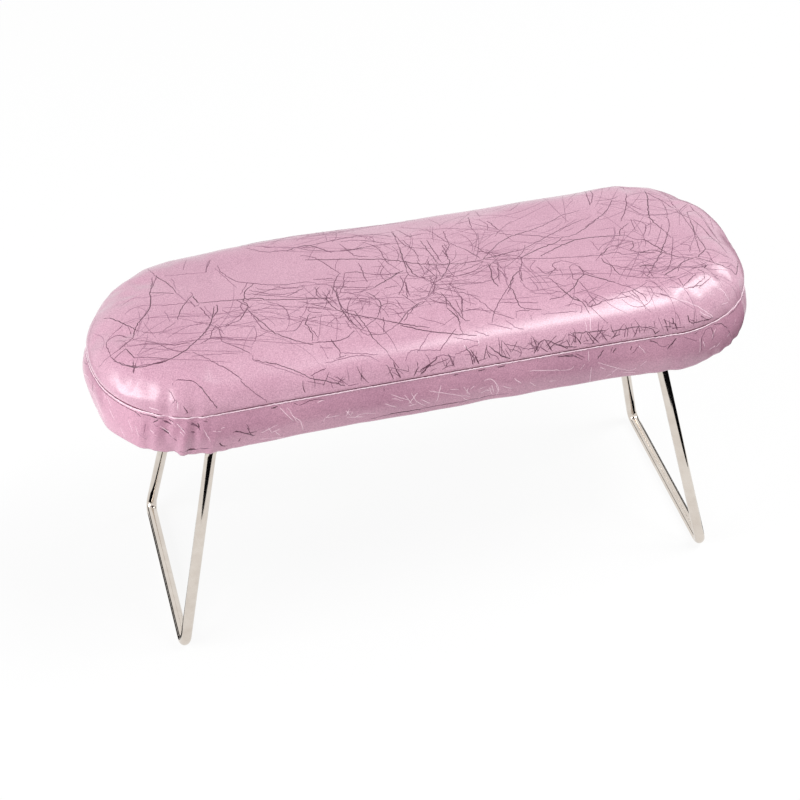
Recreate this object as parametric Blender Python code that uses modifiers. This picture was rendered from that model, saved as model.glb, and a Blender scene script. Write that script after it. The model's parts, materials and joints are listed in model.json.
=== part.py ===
"""Manicure hand rest: a padded arm cushion on two bent-rod legs.

Frame: origin on the floor under the middle of the cushion, X along the cushion's
length, Y from the front to the back, Z up. Lengths are in metres.
"""

import math

import bmesh
import bpy
from mathutils import Matrix, Vector

# Cushion: outline at its bottom edge, and heights
PAD_LENGTH = 0.300
PAD_WIDTH = 0.1045
CORNER_RADIUS = 0.047
UNDERSIDE_HEIGHT = 0.120
BAND_HEIGHT = 0.0195
ROLL_WIDTH = 0.014
ROLL_HEIGHT = 0.013
CROWN_HEIGHT = 0.0045
CROWN_LAND = 0.0078

# Sewn cover
COVER_THICKNESS = 0.001
BAND_BULGE = 0.0011
SEAM_INSET = 0.0008
SEAM_FOLD_RADIUS = 0.0013
SEAM_ALLOWANCE = 0.006
SEAM_LIP = 0.0016
BOTTOM_EDGE_RADIUS = 0.0025
HEM_WIDTH = 0.014

# Base
BOARD_THICKNESS = 0.006
DUST_COVER_THICKNESS = 0.0006
DUST_COVER_MARGIN = 0.0075

# Legs: each is one bent rod; insets and splays are taken to its centreline
ROD_DIAMETER = 0.005
LEG_END_INSET = 0.0482
LEG_SIDE_INSET = 0.0195
LEG_SPLAY_LENGTHWAYS = 0.025
LEG_SPLAY_SIDEWAYS = 0.01625
FLOOR_BEND_RADIUS = 0.0048
TOP_BEND_RADIUS = 0.018
FOOT_LENGTH = 0.042
PALM_LENGTH = 0.013
PALM_WIDTH = 0.009
PALM_THICKNESS = 0.0022
PRESS_RAMP = 0.007
PRESS_FLATNESS = 0.8
PALM_BLUNTNESS = 0.12

# Screws that hold the legs
SCREW_DIAMETER = 0.0032
SCREW_HEAD_DIAMETER = 0.007
SCREW_HEAD_HEIGHT = 0.0022
SCREW_TIP_COVER = 0.0015
SCREW_TIP_LENGTH = 0.002
RECESS_LENGTH = 0.0038
RECESS_WIDTH = 0.0008
RECESS_DEPTH = 0.0012
# Section of the pan head, as shares of its radius and its height
PAN_HEAD_SECTION = ((1.0, 0.0), (1.0, 0.35), (0.82, 0.8), (0.5, 1.0), (0.0, 1.0))

# Staples that hold the hem and the dust cover
STAPLE_COUNT = 24
STAPLE_INSET = 0.0108
STAPLE_CROWN = 0.010
STAPLE_LEG = 0.0055
STAPLE_WIRE_WIDTH = 0.0011
STAPLE_WIRE_THICKNESS = 0.0006

# Clearances
SEAT_GAP = 0.0003
HOLE_CLEARANCE = 0.0004

# Fineness of the curves
CORNER_STEPS = 9
ROD_SIDES = 16
BEND_STEP = math.radians(13)
TURNED_STEPS = 16
MERGE = 0.00001
EDGE_CROWDING = 1.9

# Places that follow from the sizes above
OUTLINE_RADIUS = min(CORNER_RADIUS, PAD_WIDTH / 2 - SEAT_GAP)
BAND_TOP = UNDERSIDE_HEIGHT + BAND_HEIGHT
BOARD_BOTTOM = UNDERSIDE_HEIGHT + COVER_THICKNESS + SEAT_GAP
BOARD_TOP = BOARD_BOTTOM + BOARD_THICKNESS
DUST_COVER_TOP = UNDERSIDE_HEIGHT - SEAT_GAP
DUST_COVER_BOTTOM = DUST_COVER_TOP - DUST_COVER_THICKNESS
ROD_RADIUS = ROD_DIAMETER / 2
ROD_TOP = DUST_COVER_BOTTOM - SEAT_GAP
RUN_HEIGHT = ROD_TOP - ROD_RADIUS
PALM_BOTTOM = ROD_TOP - PALM_THICKNESS
LEG_TOP_X = PAD_LENGTH / 2 - LEG_END_INSET
LEG_TOP_Y = PAD_WIDTH / 2 - LEG_SIDE_INSET
LEG_FLOOR_X = LEG_TOP_X + LEG_SPLAY_LENGTHWAYS
LEG_FLOOR_Y = LEG_TOP_Y + LEG_SPLAY_SIDEWAYS
PALM_TIP_X = LEG_TOP_X - FOOT_LENGTH
FLOOR_BAR_HEIGHT = ROD_RADIUS * math.cos(math.pi / ROD_SIDES)

PART_COLLECTION = "manicure_hand_rest"
CUTTER_COLLECTION = "cutters"

COLOURS = {
    "top_cover": (0.66, 0.38, 0.48),
    "side_band": (0.57, 0.32, 0.42),
    "foam": (0.86, 0.80, 0.55),
    "board": (0.55, 0.38, 0.22),
    "dust_cover": (0.02, 0.02, 0.02),
    "nickel": (0.72, 0.68, 0.62),
    "steel": (0.60, 0.60, 0.62),
}


def clear_scene():
    """Remove the objects and collections that the scene starts with."""
    for obj in list(bpy.data.objects):
        bpy.data.objects.remove(obj, do_unlink=True)
    for collection in list(bpy.data.collections):
        bpy.data.collections.remove(collection)


def new_collection(name):
    """Add a collection to the scene."""
    collection = bpy.data.collections.new(name)
    bpy.context.scene.collection.children.link(collection)
    return collection


def make_material(name, colour, roughness, metallic=0.0):
    """Return a plain Principled material."""
    material = bpy.data.materials.new(name)
    material.use_nodes = True
    shader = material.node_tree.nodes["Principled BSDF"]
    shader.inputs["Base Color"].default_value = (*colour, 1.0)
    shader.inputs["Roughness"].default_value = roughness
    shader.inputs["Metallic"].default_value = metallic
    material.diffuse_color = (*colour, 1.0)
    return material


def add_object(name, mesh, collection, material=None):
    """Link a new object that shows the mesh."""
    obj = bpy.data.objects.new(name, mesh)
    collection.objects.link(obj)
    if material is not None and not mesh.materials:
        mesh.materials.append(material)
    return obj


def add_cutter(name, mesh, cutters):
    """Link a shape that is only used to cut others."""
    obj = add_object(name, mesh, cutters)
    obj.display_type = "WIRE"
    obj.hide_render = True
    return obj


def cut(obj, cutter):
    """Take a cutter's shape out of an object."""
    modifier = obj.modifiers.new("cut_" + cutter.name, "BOOLEAN")
    modifier.operation = "DIFFERENCE"
    modifier.solver = "EXACT"
    modifier.object = cutter


def evaluated_mesh(obj):
    """Return a new mesh of the object with its modifiers, and remove the object."""
    bpy.context.view_layer.update()
    graph = bpy.context.evaluated_depsgraph_get()
    mesh = bpy.data.meshes.new_from_object(obj.evaluated_get(graph))
    bpy.data.objects.remove(obj, do_unlink=True)
    return mesh


def shade_round(mesh, angle=math.radians(35)):
    """Shade a mesh smooth, with its true corners kept sharp."""
    mesh.shade_smooth()
    mesh.set_sharp_from_angle(angle=angle)


# Outline of the cushion


def pad_outline(inset, height):
    """Return the points of the rounded oblong, moved inwards by the inset."""
    radius = max(OUTLINE_RADIUS - inset, SEAT_GAP)
    centre_x = PAD_LENGTH / 2 - inset - radius
    centre_y = PAD_WIDTH / 2 - inset - radius
    points = []
    for quarter, (side_x, side_y) in enumerate(((1, 1), (-1, 1), (-1, -1), (1, -1))):
        for step in range(CORNER_STEPS + 1):
            angle = (quarter + step / CORNER_STEPS) * math.pi / 2
            points.append(Vector((
                side_x * centre_x + radius * math.cos(angle),
                side_y * centre_y + radius * math.sin(angle),
                height,
            )))
    return points


def outline_length(inset):
    """Return the length of the outline at an inset."""
    radius = OUTLINE_RADIUS - inset
    straight = 2 * (PAD_LENGTH + PAD_WIDTH - 4 * OUTLINE_RADIUS)
    return straight + 2 * math.pi * radius


def outline_station(inset, distance):
    """Return the point and the direction of travel at a distance along the outline."""
    radius = OUTLINE_RADIUS - inset
    half_x = PAD_LENGTH / 2 - OUTLINE_RADIUS
    half_y = PAD_WIDTH / 2 - OUTLINE_RADIUS
    corners = ((half_x, half_y), (-half_x, half_y), (-half_x, -half_y), (half_x, -half_y))
    arc = radius * math.pi / 2
    for quarter, (centre_x, centre_y) in enumerate(corners):
        start = quarter * math.pi / 2
        if distance <= arc:
            angle = start + distance / radius
            point = Vector((centre_x + radius * math.cos(angle), centre_y + radius * math.sin(angle), 0))
            return point, Vector((-math.sin(angle), math.cos(angle), 0))
        distance -= arc
        run = 2 * (half_x if quarter % 2 == 0 else half_y)
        angle = start + math.pi / 2
        along = Vector((-math.sin(angle), math.cos(angle), 0))
        if distance <= run:
            point = Vector((centre_x + radius * math.cos(angle), centre_y + radius * math.sin(angle), 0))
            return point + along * distance, along
        distance -= run
    return outline_station(inset, 0.0)


def add_loop(bm, points):
    """Add a closed loop of edges to a mesh, and return its points in order."""
    verts = [bm.verts.new(point) for point in points]
    for index, vert in enumerate(verts):
        bm.edges.new((verts[index - 1], vert))
    return verts


def extrude_loop(bm, verts, points):
    """Extrude a closed loop and move each new point to its place on the next outline."""
    edges = [bm.edges.get((verts[index - 1], vert)) for index, vert in enumerate(verts)]
    result = bmesh.ops.extrude_edge_only(bm, edges=edges)
    fresh = {item for item in result["geom"] if isinstance(item, bmesh.types.BMVert)}
    moved = []
    for vert, point in zip(verts, points):
        twin = next(edge.other_vert(vert) for edge in vert.link_edges if edge.other_vert(vert) in fresh)
        twin.co = point
        moved.append(twin)
    return moved


def sweep_round_pad(name, profile, close_first=False, close_last=False):
    """Extrude the cushion's outline through each (inset, height) of a section."""
    bm = bmesh.new()
    first = add_loop(bm, pad_outline(*profile[0]))
    last = first
    for inset, height in profile[1:]:
        last = extrude_loop(bm, last, pad_outline(inset, height))
    if close_first:
        bm.faces.new(first)
    if close_last:
        bm.faces.new(last)
    bmesh.ops.recalc_face_normals(bm, faces=bm.faces)
    bm.normal_update()
    outermost = max(bm.faces, key=lambda face: face.calc_center_median().x)
    if outermost.normal.x < 0:
        bmesh.ops.reverse_faces(bm, faces=bm.faces)
    mesh = bpy.data.meshes.new(name)
    bm.to_mesh(mesh)
    bm.free()
    return mesh


def arc_profile(centre, radius, start, end, steps):
    """Return points along an arc in the plane of inset and height."""
    points = []
    for step in range(steps + 1):
        angle = start + (end - start) * step / steps
        points.append((centre[0] + radius * math.cos(angle), centre[1] + radius * math.sin(angle)))
    return points


# Sections of the cushion, from the outside in


def allowance_inset():
    """Return the inset at which the top panel's seam allowance hangs, inside the band's."""
    return SEAM_INSET + 2 * SEAM_FOLD_RADIUS + SEAT_GAP


def crown_profile(wrap, steps):
    """Return the crowned top's section, from its rolled edge to near its middle.

    The wrap is how far the section lies inside the cover's outer face.
    """
    edge = SEAM_INSET + wrap
    roll_base = BAND_TOP + SEAM_LIP
    roll_height = ROLL_HEIGHT - SEAM_LIP
    half_width = PAD_WIDTH / 2 - SEAM_INSET
    reach = half_width - CROWN_LAND - wrap
    points = []
    for step in range(steps + 1):
        travel = reach * (step / steps) ** EDGE_CROWDING
        roll_share = min(travel / ROLL_WIDTH, 1.0)
        roll = roll_height * math.sqrt(1 - (1 - roll_share) ** 2)
        crown = CROWN_HEIGHT * (1 - (1 - travel / half_width) ** 2)
        points.append((edge + travel, roll_base + roll + crown - wrap))
    return points


def band_height_points(inset, bottom, top, steps):
    """Return a wall's section, which bulges by BAND_BULGE at half its height."""
    points = []
    for step in range(steps + 1):
        share = step / steps
        bulge = BAND_BULGE * math.sin(math.pi * share)
        lean = SEAM_INSET * share
        points.append((inset + lean - bulge, bottom + (top - bottom) * share))
    return points


def build_side_band(parts, material):
    """Make the side band: turned in at the top for the seam, and under the board as a hem."""
    edge = BOTTOM_EDGE_RADIUS
    profile = [(HEM_WIDTH, UNDERSIDE_HEIGHT)]
    corner = (edge, UNDERSIDE_HEIGHT + edge)
    profile += arc_profile(corner, edge, 1.5 * math.pi, math.pi, 3)
    fold_centre = (SEAM_INSET + SEAM_FOLD_RADIUS, BAND_TOP - SEAM_FOLD_RADIUS)
    wall = band_height_points(0.0, corner[1], fold_centre[1], 5)
    profile += wall[1:-1]
    profile += arc_profile(fold_centre, SEAM_FOLD_RADIUS, math.pi, 0.0, 5)
    profile.append((profile[-1][0], fold_centre[1] - SEAM_ALLOWANCE))
    mesh = sweep_round_pad("side_band", profile)
    shade_round(mesh)
    band = add_object("side_band", mesh, parts, material)
    add_thickness(band)
    return band


def build_top_cover(parts, material):
    """Make the crowned top panel, with its seam allowance turned down inside the band."""
    turn = allowance_inset()
    allowance_end = BAND_TOP - SEAM_FOLD_RADIUS - SEAM_ALLOWANCE
    lip_radius = SEAM_LIP - SEAT_GAP
    lip_centre = (SEAM_INSET + lip_radius, BAND_TOP + SEAM_LIP)
    profile = [(turn, allowance_end), (turn, BAND_TOP - SEAT_GAP)]
    profile += arc_profile(lip_centre, lip_radius, 1.5 * math.pi, math.pi, 3)
    profile += crown_profile(0.0, 11)[1:]
    mesh = sweep_round_pad("top_cover", profile, close_last=True)
    shade_round(mesh)
    cover = add_object("top_cover", mesh, parts, material)
    add_thickness(cover)
    return cover


def add_thickness(obj):
    """Give a cover's outer face its material thickness, towards the inside."""
    modifier = obj.modifiers.new("thickness", "SOLIDIFY")
    modifier.thickness = COVER_THICKNESS
    modifier.offset = -1.0
    modifier.use_even_offset = True
    modifier.use_quality_normals = True


def build_foam_core(parts, material):
    """Make the foam block that fills the cover above the board, notched for the seam allowances."""
    wrap = COVER_THICKNESS + SEAT_GAP
    notch_inset = allowance_inset() + wrap
    notch_bottom = BAND_TOP - SEAM_FOLD_RADIUS - SEAM_ALLOWANCE - SEAT_GAP
    notch_top = BAND_TOP + SEAM_LIP + SEAT_GAP
    side_inset = SEAM_INSET + wrap
    profile = [
        (side_inset, BOARD_TOP + SEAT_GAP),
        (side_inset, notch_bottom),
        (notch_inset, notch_bottom),
        (notch_inset, notch_top),
    ]
    profile += [point for point in crown_profile(wrap, 9) if point[1] > notch_top]
    mesh = sweep_round_pad("foam_core", profile, close_first=True, close_last=True)
    shade_round(mesh)
    return add_object("foam_core", mesh, parts, material)


def build_base_board(parts, material):
    """Make the plywood board, its lower edge rounded to suit the cover's turn."""
    wrap = COVER_THICKNESS + SEAT_GAP
    centre = (BOTTOM_EDGE_RADIUS, UNDERSIDE_HEIGHT + BOTTOM_EDGE_RADIUS)
    rounding = max(BOTTOM_EDGE_RADIUS - wrap, SEAT_GAP)
    profile = arc_profile(centre, rounding, 1.5 * math.pi, math.pi, 3)
    profile.append((profile[-1][0], BOARD_TOP))
    mesh = sweep_round_pad("base_board", profile, close_first=True, close_last=True)
    return add_object("base_board", mesh, parts, material)


# Flat pieces


def flat_curve(name, points, thickness):
    """Return the closed mesh of a flat outline with a thickness."""
    curve = bpy.data.curves.new(name, "CURVE")
    curve.dimensions = "2D"
    curve.fill_mode = "BOTH"
    curve.extrude = thickness / 2
    spline = curve.splines.new("POLY")
    spline.points.add(len(points) - 1)
    for place, point in zip(spline.points, points):
        place.co = (point[0], point[1], 0.0, 1.0)
    spline.use_cyclic_u = True
    obj = bpy.data.objects.new(name, curve)
    bpy.context.scene.collection.objects.link(obj)
    mesh = evaluated_mesh(obj)
    weld(mesh)
    return mesh


def weld(mesh):
    """Join a mesh's touching points and turn its faces outwards."""
    bm = bmesh.new()
    bm.from_mesh(mesh)
    bmesh.ops.remove_doubles(bm, verts=bm.verts, dist=MERGE)
    bmesh.ops.recalc_face_normals(bm, faces=bm.faces)
    bm.to_mesh(mesh)
    bm.free()


def build_dust_cover(parts, material):
    """Make the black cloth that hides the board and the hem's raw edge."""
    mesh = flat_curve("dust_cover", pad_outline(DUST_COVER_MARGIN, 0.0), DUST_COVER_THICKNESS)
    mesh.transform(Matrix.Translation((0.0, 0.0, DUST_COVER_BOTTOM + DUST_COVER_THICKNESS / 2)))
    return add_object("dust_cover", mesh, parts, material)


# Legs


def rod_path(side):
    """Return the centreline of the back half of a leg, from the floor to its palm."""
    middle = Vector((LEG_FLOOR_X, 0.0, FLOOR_BAR_HEIGHT))
    floor_corner = Vector((LEG_FLOOR_X, LEG_FLOOR_Y, FLOOR_BAR_HEIGHT))
    top_corner = Vector((LEG_TOP_X, LEG_TOP_Y, RUN_HEIGHT))
    tip = Vector((PALM_TIP_X, LEG_TOP_Y, RUN_HEIGHT))
    points = [middle]
    points += bend(middle, floor_corner, top_corner, FLOOR_BEND_RADIUS)
    points += bend(floor_corner, top_corner, tip, TOP_BEND_RADIUS)
    points += [tip + Vector((distance, 0.0, 0.0)) for distance in palm_stations()]
    return [Vector((side * point.x, point.y, point.z)) for point in points]


def bend(before, corner, after, radius):
    """Return the points of the arc that rounds a corner of the rod."""
    incoming = (corner - before).normalized()
    outgoing = (after - corner).normalized()
    turn = incoming.angle(outgoing)
    start = corner - incoming * radius * math.tan(turn / 2)
    inwards = (outgoing - incoming * outgoing.dot(incoming)).normalized()
    centre = start + inwards * radius
    steps = max(3, round(turn / BEND_STEP))
    return [
        centre + radius * (incoming * math.sin(turn * i / steps) - inwards * math.cos(turn * i / steps))
        for i in range(steps + 1)
    ]


def palm_stations():
    """Return the distances from the rod's tip at which the pressed palm changes, far one first."""
    ramp = [PALM_LENGTH + PRESS_RAMP * share for share in (1.0, 0.75, 0.5, 0.25)]
    nose = [PALM_WIDTH / 2 * share for share in (1.0, 0.55, 0.25, 0.07, 0.0)]
    return ramp + [PALM_LENGTH] + nose


def press_share(distance):
    """Return how far the rod is pressed flat at a distance from its tip."""
    share = min(max((PALM_LENGTH + PRESS_RAMP - distance) / PRESS_RAMP, 0.0), 1.0)
    return share * share * (3 - 2 * share)


def nose_share(distance):
    """Return the palm's width at a distance from its tip, as a share of the full width."""
    nose = PALM_WIDTH / 2
    if distance >= nose:
        return 1.0
    blunt = PALM_BLUNTNESS * nose
    return math.sqrt(1 - ((nose - distance) / (nose + blunt)) ** 2)


def press_palm(mesh, side):
    """Press the end of the rod into a flat palm that keeps the rod's upper side."""
    for vert in mesh.vertices:
        distance = side * vert.co.x - PALM_TIP_X
        share = press_share(distance)
        if share <= 0.0 or vert.co.z < RUN_HEIGHT - ROD_DIAMETER:
            continue
        across = (vert.co.y - LEG_TOP_Y) / ROD_RADIUS
        up = (vert.co.z - RUN_HEIGHT) / ROD_RADIUS * (1 + PRESS_FLATNESS * share)
        half_width = ROD_RADIUS + (PALM_WIDTH / 2 * nose_share(distance) - ROD_RADIUS) * share
        half_height = ROD_RADIUS + (PALM_THICKNESS / 2 - ROD_RADIUS) * share
        up = min(max(up, -1.0), 1.0)
        vert.co.y = LEG_TOP_Y + across * half_width
        vert.co.z = ROD_TOP - half_height + up * half_height


def build_leg(side, parts, material, screw_holes):
    """Bend one leg: floor bar, two uprights, two palms under the board."""
    name = "leg_right" if side > 0 else "leg_left"
    points = rod_path(side)
    curve = bpy.data.curves.new(name, "CURVE")
    curve.dimensions = "3D"
    curve.bevel_depth = ROD_RADIUS
    curve.bevel_resolution = (ROD_SIDES - 4) // 2
    curve.use_fill_caps = True
    spline = curve.splines.new("POLY")
    spline.points.add(len(points) - 1)
    for place, point in zip(spline.points, points):
        place.co = (*point, 1.0)
        place.tilt = math.pi / ROD_SIDES
    obj = bpy.data.objects.new(name, curve)
    bpy.context.scene.collection.objects.link(obj)
    mesh = evaluated_mesh(obj)
    open_middle(mesh, side)
    press_palm(mesh, side)
    shade_round(mesh, math.radians(40))
    leg = add_object(name, mesh, parts, material)
    mirror = leg.modifiers.new("front_half", "MIRROR")
    mirror.use_axis = (False, True, False)
    mirror.use_clip = True
    mirror.merge_threshold = 0.0001
    cut(leg, screw_holes)
    return leg


def open_middle(mesh, side):
    """Open the half rod at the middle of the floor bar, and close its tip with a fan of faces."""
    tip_x = side * PALM_TIP_X
    bm = bmesh.new()
    bm.from_mesh(mesh)
    bmesh.ops.remove_doubles(bm, verts=bm.verts, dist=MERGE)
    caps = [
        face for face in bm.faces
        if all(abs(vert.co.y) < MERGE for vert in face.verts)
        or all(abs(vert.co.x - tip_x) < MERGE for vert in face.verts)
    ]
    bmesh.ops.delete(bm, geom=caps, context="FACES")
    tip = [edge for edge in bm.edges if edge.is_boundary and edge.verts[0].co.y > ROD_DIAMETER]
    lid = bmesh.ops.edgeloop_fill(bm, edges=tip)
    bmesh.ops.poke(bm, faces=lid["faces"])
    bmesh.ops.recalc_face_normals(bm, faces=bm.faces)
    bm.to_mesh(mesh)
    bm.free()


# Fasteners


def screw_places():
    """Return the four points where the palms are screwed to the board."""
    x = PALM_TIP_X + PALM_WIDTH / 2
    return [(side_x * x, side_y * LEG_TOP_Y) for side_x in (-1, 1) for side_y in (-1, 1)]


def screw_tip_height():
    """Return the height of the screws' points, inside the board."""
    return BOARD_TOP - SCREW_TIP_COVER


def cylinders(name, radius, bottom, top, cutters):
    """Return a cutter with one upright cylinder at each screw."""
    bm = bmesh.new()
    for x, y in screw_places():
        place = Matrix.Translation((x, y, (bottom + top) / 2))
        bmesh.ops.create_cone(
            bm, cap_ends=True, segments=TURNED_STEPS, radius1=radius, radius2=radius,
            depth=top - bottom, matrix=place,
        )
    mesh = bpy.data.meshes.new(name)
    bm.to_mesh(mesh)
    bm.free()
    return add_cutter(name, mesh, cutters)


def screw_mesh(cutters):
    """Return the mesh of one pan-head screw with a cross recess, its head down."""
    seat = PALM_BOTTOM - SEAT_GAP
    tip = screw_tip_height()
    shank = SCREW_DIAMETER / 2
    head = SCREW_HEAD_DIAMETER / 2
    profile = [(0.0, tip), (shank, tip - SCREW_TIP_LENGTH), (shank, seat)]
    profile += [(head * out, seat - SCREW_HEAD_HEIGHT * down) for out, down in PAN_HEAD_SECTION]
    outline = bpy.data.meshes.new("screw_profile")
    points = [(radius, 0.0, height) for radius, height in profile]
    outline.from_pydata(points, [(i, i + 1) for i in range(len(points) - 1)], [])
    turned = bpy.data.objects.new("screw_turned", outline)
    bpy.context.scene.collection.objects.link(turned)
    spin = turned.modifiers.new("turn", "SCREW")
    spin.axis = "Z"
    spin.steps = TURNED_STEPS
    spin.render_steps = TURNED_STEPS
    spin.use_merge_vertices = True
    spin.merge_threshold = MERGE
    bottom = seat - SCREW_HEAD_HEIGHT
    bm = bmesh.new()
    for angle in (0.0, math.pi / 2):
        size = Matrix.Diagonal((RECESS_LENGTH, RECESS_WIDTH, 2 * RECESS_DEPTH, 1.0))
        place = Matrix.Translation((0.0, 0.0, bottom)) @ Matrix.Rotation(angle, 4, "Z")
        bmesh.ops.create_cube(bm, size=1.0, matrix=place @ size)
    bars = bpy.data.meshes.new("screw_recess")
    bm.to_mesh(bars)
    bm.free()
    recess = add_cutter("screw_recess", bars, cutters)
    cut(turned, recess)
    turned.modifiers[-1].use_self = True
    mesh = evaluated_mesh(turned)
    shade_round(mesh)
    return mesh


def build_screws(parts, cutters, material):
    """Place the four screws."""
    mesh = screw_mesh(cutters)
    mesh.materials.append(material)
    names = ("left_front", "left_back", "right_front", "right_back")
    for name, (x, y) in zip(names, screw_places()):
        screw = add_object("screw_" + name, mesh, parts)
        screw.location = (x, y, 0.0)


def staple_places():
    """Return the place and turn of each staple, evenly spaced round the hem."""
    length = outline_length(STAPLE_INSET)
    places = []
    for index in range(STAPLE_COUNT):
        point, along = outline_station(STAPLE_INSET, (index + 0.5) * length / STAPLE_COUNT)
        turn = Matrix.Rotation(math.atan2(along.y, along.x), 4, "Z")
        places.append(Matrix.Translation(point) @ turn)
    return places


def staple_outline(spread):
    """Return a staple's outline in the plane of its width and height."""
    half = STAPLE_CROWN / 2
    wire = STAPLE_WIRE_THICKNESS
    crown_top = DUST_COVER_BOTTOM - SEAT_GAP
    crown_bottom = crown_top - wire
    points_top = crown_top + STAPLE_LEG + spread
    return [
        (-half - spread, crown_bottom), (half + spread, crown_bottom),
        (half + spread, points_top), (half - wire - spread, points_top),
        (half - wire - spread, crown_top), (-half + wire + spread, crown_top),
        (-half + wire + spread, points_top), (-half - spread, points_top),
    ]


def staple_mesh(name, spread):
    """Return an upright staple; the spread makes it larger, as the slot that it needs."""
    mesh = flat_curve(name, staple_outline(spread), STAPLE_WIRE_WIDTH + 2 * spread)
    mesh.transform(Matrix.Rotation(math.pi / 2, 4, "X"))
    return mesh


def build_staples(parts, material):
    """Place the staples that hold the hem and the dust cover to the board."""
    mesh = staple_mesh("staple", 0.0)
    mesh.materials.append(material)
    for index, place in enumerate(staple_places()):
        staple = add_object(f"staple_{index + 1:02d}", mesh, parts)
        staple.matrix_world = place


def staple_slots(cutters):
    """Return a cutter with the slots that all staples need."""
    slot = staple_mesh("staple_slot", SEAT_GAP)
    bm = bmesh.new()
    for place in staple_places():
        copy = slot.copy()
        copy.transform(place)
        bm.from_mesh(copy)
    mesh = bpy.data.meshes.new("staple_slots")
    bm.to_mesh(mesh)
    bm.free()
    return add_cutter("staple_slots", mesh, cutters)


def build():
    """Build the hand rest."""
    clear_scene()
    parts = new_collection(PART_COLLECTION)
    cutters = new_collection(CUTTER_COLLECTION)
    leatherette = make_material("pink_leatherette", COLOURS["top_cover"], 0.38)
    band_leatherette = make_material("pink_leatherette_band", COLOURS["side_band"], 0.42)
    foam = make_material("polyurethane_foam", COLOURS["foam"], 0.95)
    plywood = make_material("plywood", COLOURS["board"], 0.7)
    felt = make_material("black_nonwoven", COLOURS["dust_cover"], 0.95)
    nickel = make_material("nickel_plated_rod", COLOURS["nickel"], 0.15, 1.0)
    zinc = make_material("zinc_plated_steel", COLOURS["steel"], 0.3, 1.0)

    hole = SCREW_DIAMETER / 2 + HOLE_CLEARANCE
    through = cylinders(
        "screw_holes", hole, PALM_BOTTOM - ROD_RADIUS, screw_tip_height() + SEAT_GAP, cutters,
    )
    slots = staple_slots(cutters)

    board = build_base_board(parts, plywood)
    dust_cover = build_dust_cover(parts, felt)
    band = build_side_band(parts, band_leatherette)
    build_top_cover(parts, leatherette)
    build_foam_core(parts, foam)
    for piece in (board, dust_cover, band):
        cut(piece, through)
        cut(piece, slots)
    for side in (-1, 1):
        build_leg(side, parts, nickel, through)
    build_screws(parts, cutters, zinc)
    build_staples(parts, zinc)


build()
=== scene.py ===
"""Looks of the manicure hand rest: its sewn crackle cover, bent rods, underside and studio.

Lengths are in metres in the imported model's frame: X along the cushion, Y to the back, Z up.
Classes hold the sizes of one sub-assembly each and build and dress its pieces.
"""

import json
import logging
import math
import random
from bisect import bisect_right
from collections.abc import Callable, Iterator
from contextlib import contextmanager
from dataclasses import dataclass, field
from enum import Enum

import bmesh
import bpy
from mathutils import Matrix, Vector
from mathutils.bvhtree import BVHTree

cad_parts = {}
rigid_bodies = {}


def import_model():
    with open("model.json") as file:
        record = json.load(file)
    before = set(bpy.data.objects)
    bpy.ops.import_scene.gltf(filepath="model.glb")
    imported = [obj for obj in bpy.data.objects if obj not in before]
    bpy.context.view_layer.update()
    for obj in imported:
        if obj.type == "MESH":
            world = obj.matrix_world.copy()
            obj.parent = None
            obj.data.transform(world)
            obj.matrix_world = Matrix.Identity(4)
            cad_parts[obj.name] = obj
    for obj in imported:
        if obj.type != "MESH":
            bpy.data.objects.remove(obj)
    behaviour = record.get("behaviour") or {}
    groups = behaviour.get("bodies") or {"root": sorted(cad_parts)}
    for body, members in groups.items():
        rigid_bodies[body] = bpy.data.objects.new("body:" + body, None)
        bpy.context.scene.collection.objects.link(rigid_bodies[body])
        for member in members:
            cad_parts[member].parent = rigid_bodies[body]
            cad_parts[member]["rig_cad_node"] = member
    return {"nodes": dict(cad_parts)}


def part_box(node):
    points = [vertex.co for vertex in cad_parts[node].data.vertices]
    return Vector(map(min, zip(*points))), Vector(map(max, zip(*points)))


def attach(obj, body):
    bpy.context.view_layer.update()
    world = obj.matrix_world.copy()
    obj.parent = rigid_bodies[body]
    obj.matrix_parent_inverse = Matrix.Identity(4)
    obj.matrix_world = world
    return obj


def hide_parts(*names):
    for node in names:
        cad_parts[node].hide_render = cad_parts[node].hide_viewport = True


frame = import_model()

LOG = logging.getLogger("hand_rest")
MM = 0.001
BODY = "root"
TINY = 1e-7
SHARP = math.radians(35)

Material, Object = bpy.types.Material, bpy.types.Object
Node, Socket, Tree = bpy.types.Node, bpy.types.NodeSocket, bpy.types.NodeTree
Flat = tuple[float, float]
Spot = tuple[float, float, float]
Veins = tuple[tuple[float, ...], ...]


class Side(Enum):
    """The two ends of the cushion."""

    LEFT = -1
    RIGHT = 1


class VeinTone(Enum):
    """How a crease of the crackle pattern shows against the cover."""

    DARK = "dark"
    MIDDLE = "middle"
    FAINT = "faint"
    # LIGHT creases are painted highlight: whitish colour that stands in for the glint of raised creases.
    LIGHT = "light"


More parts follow.
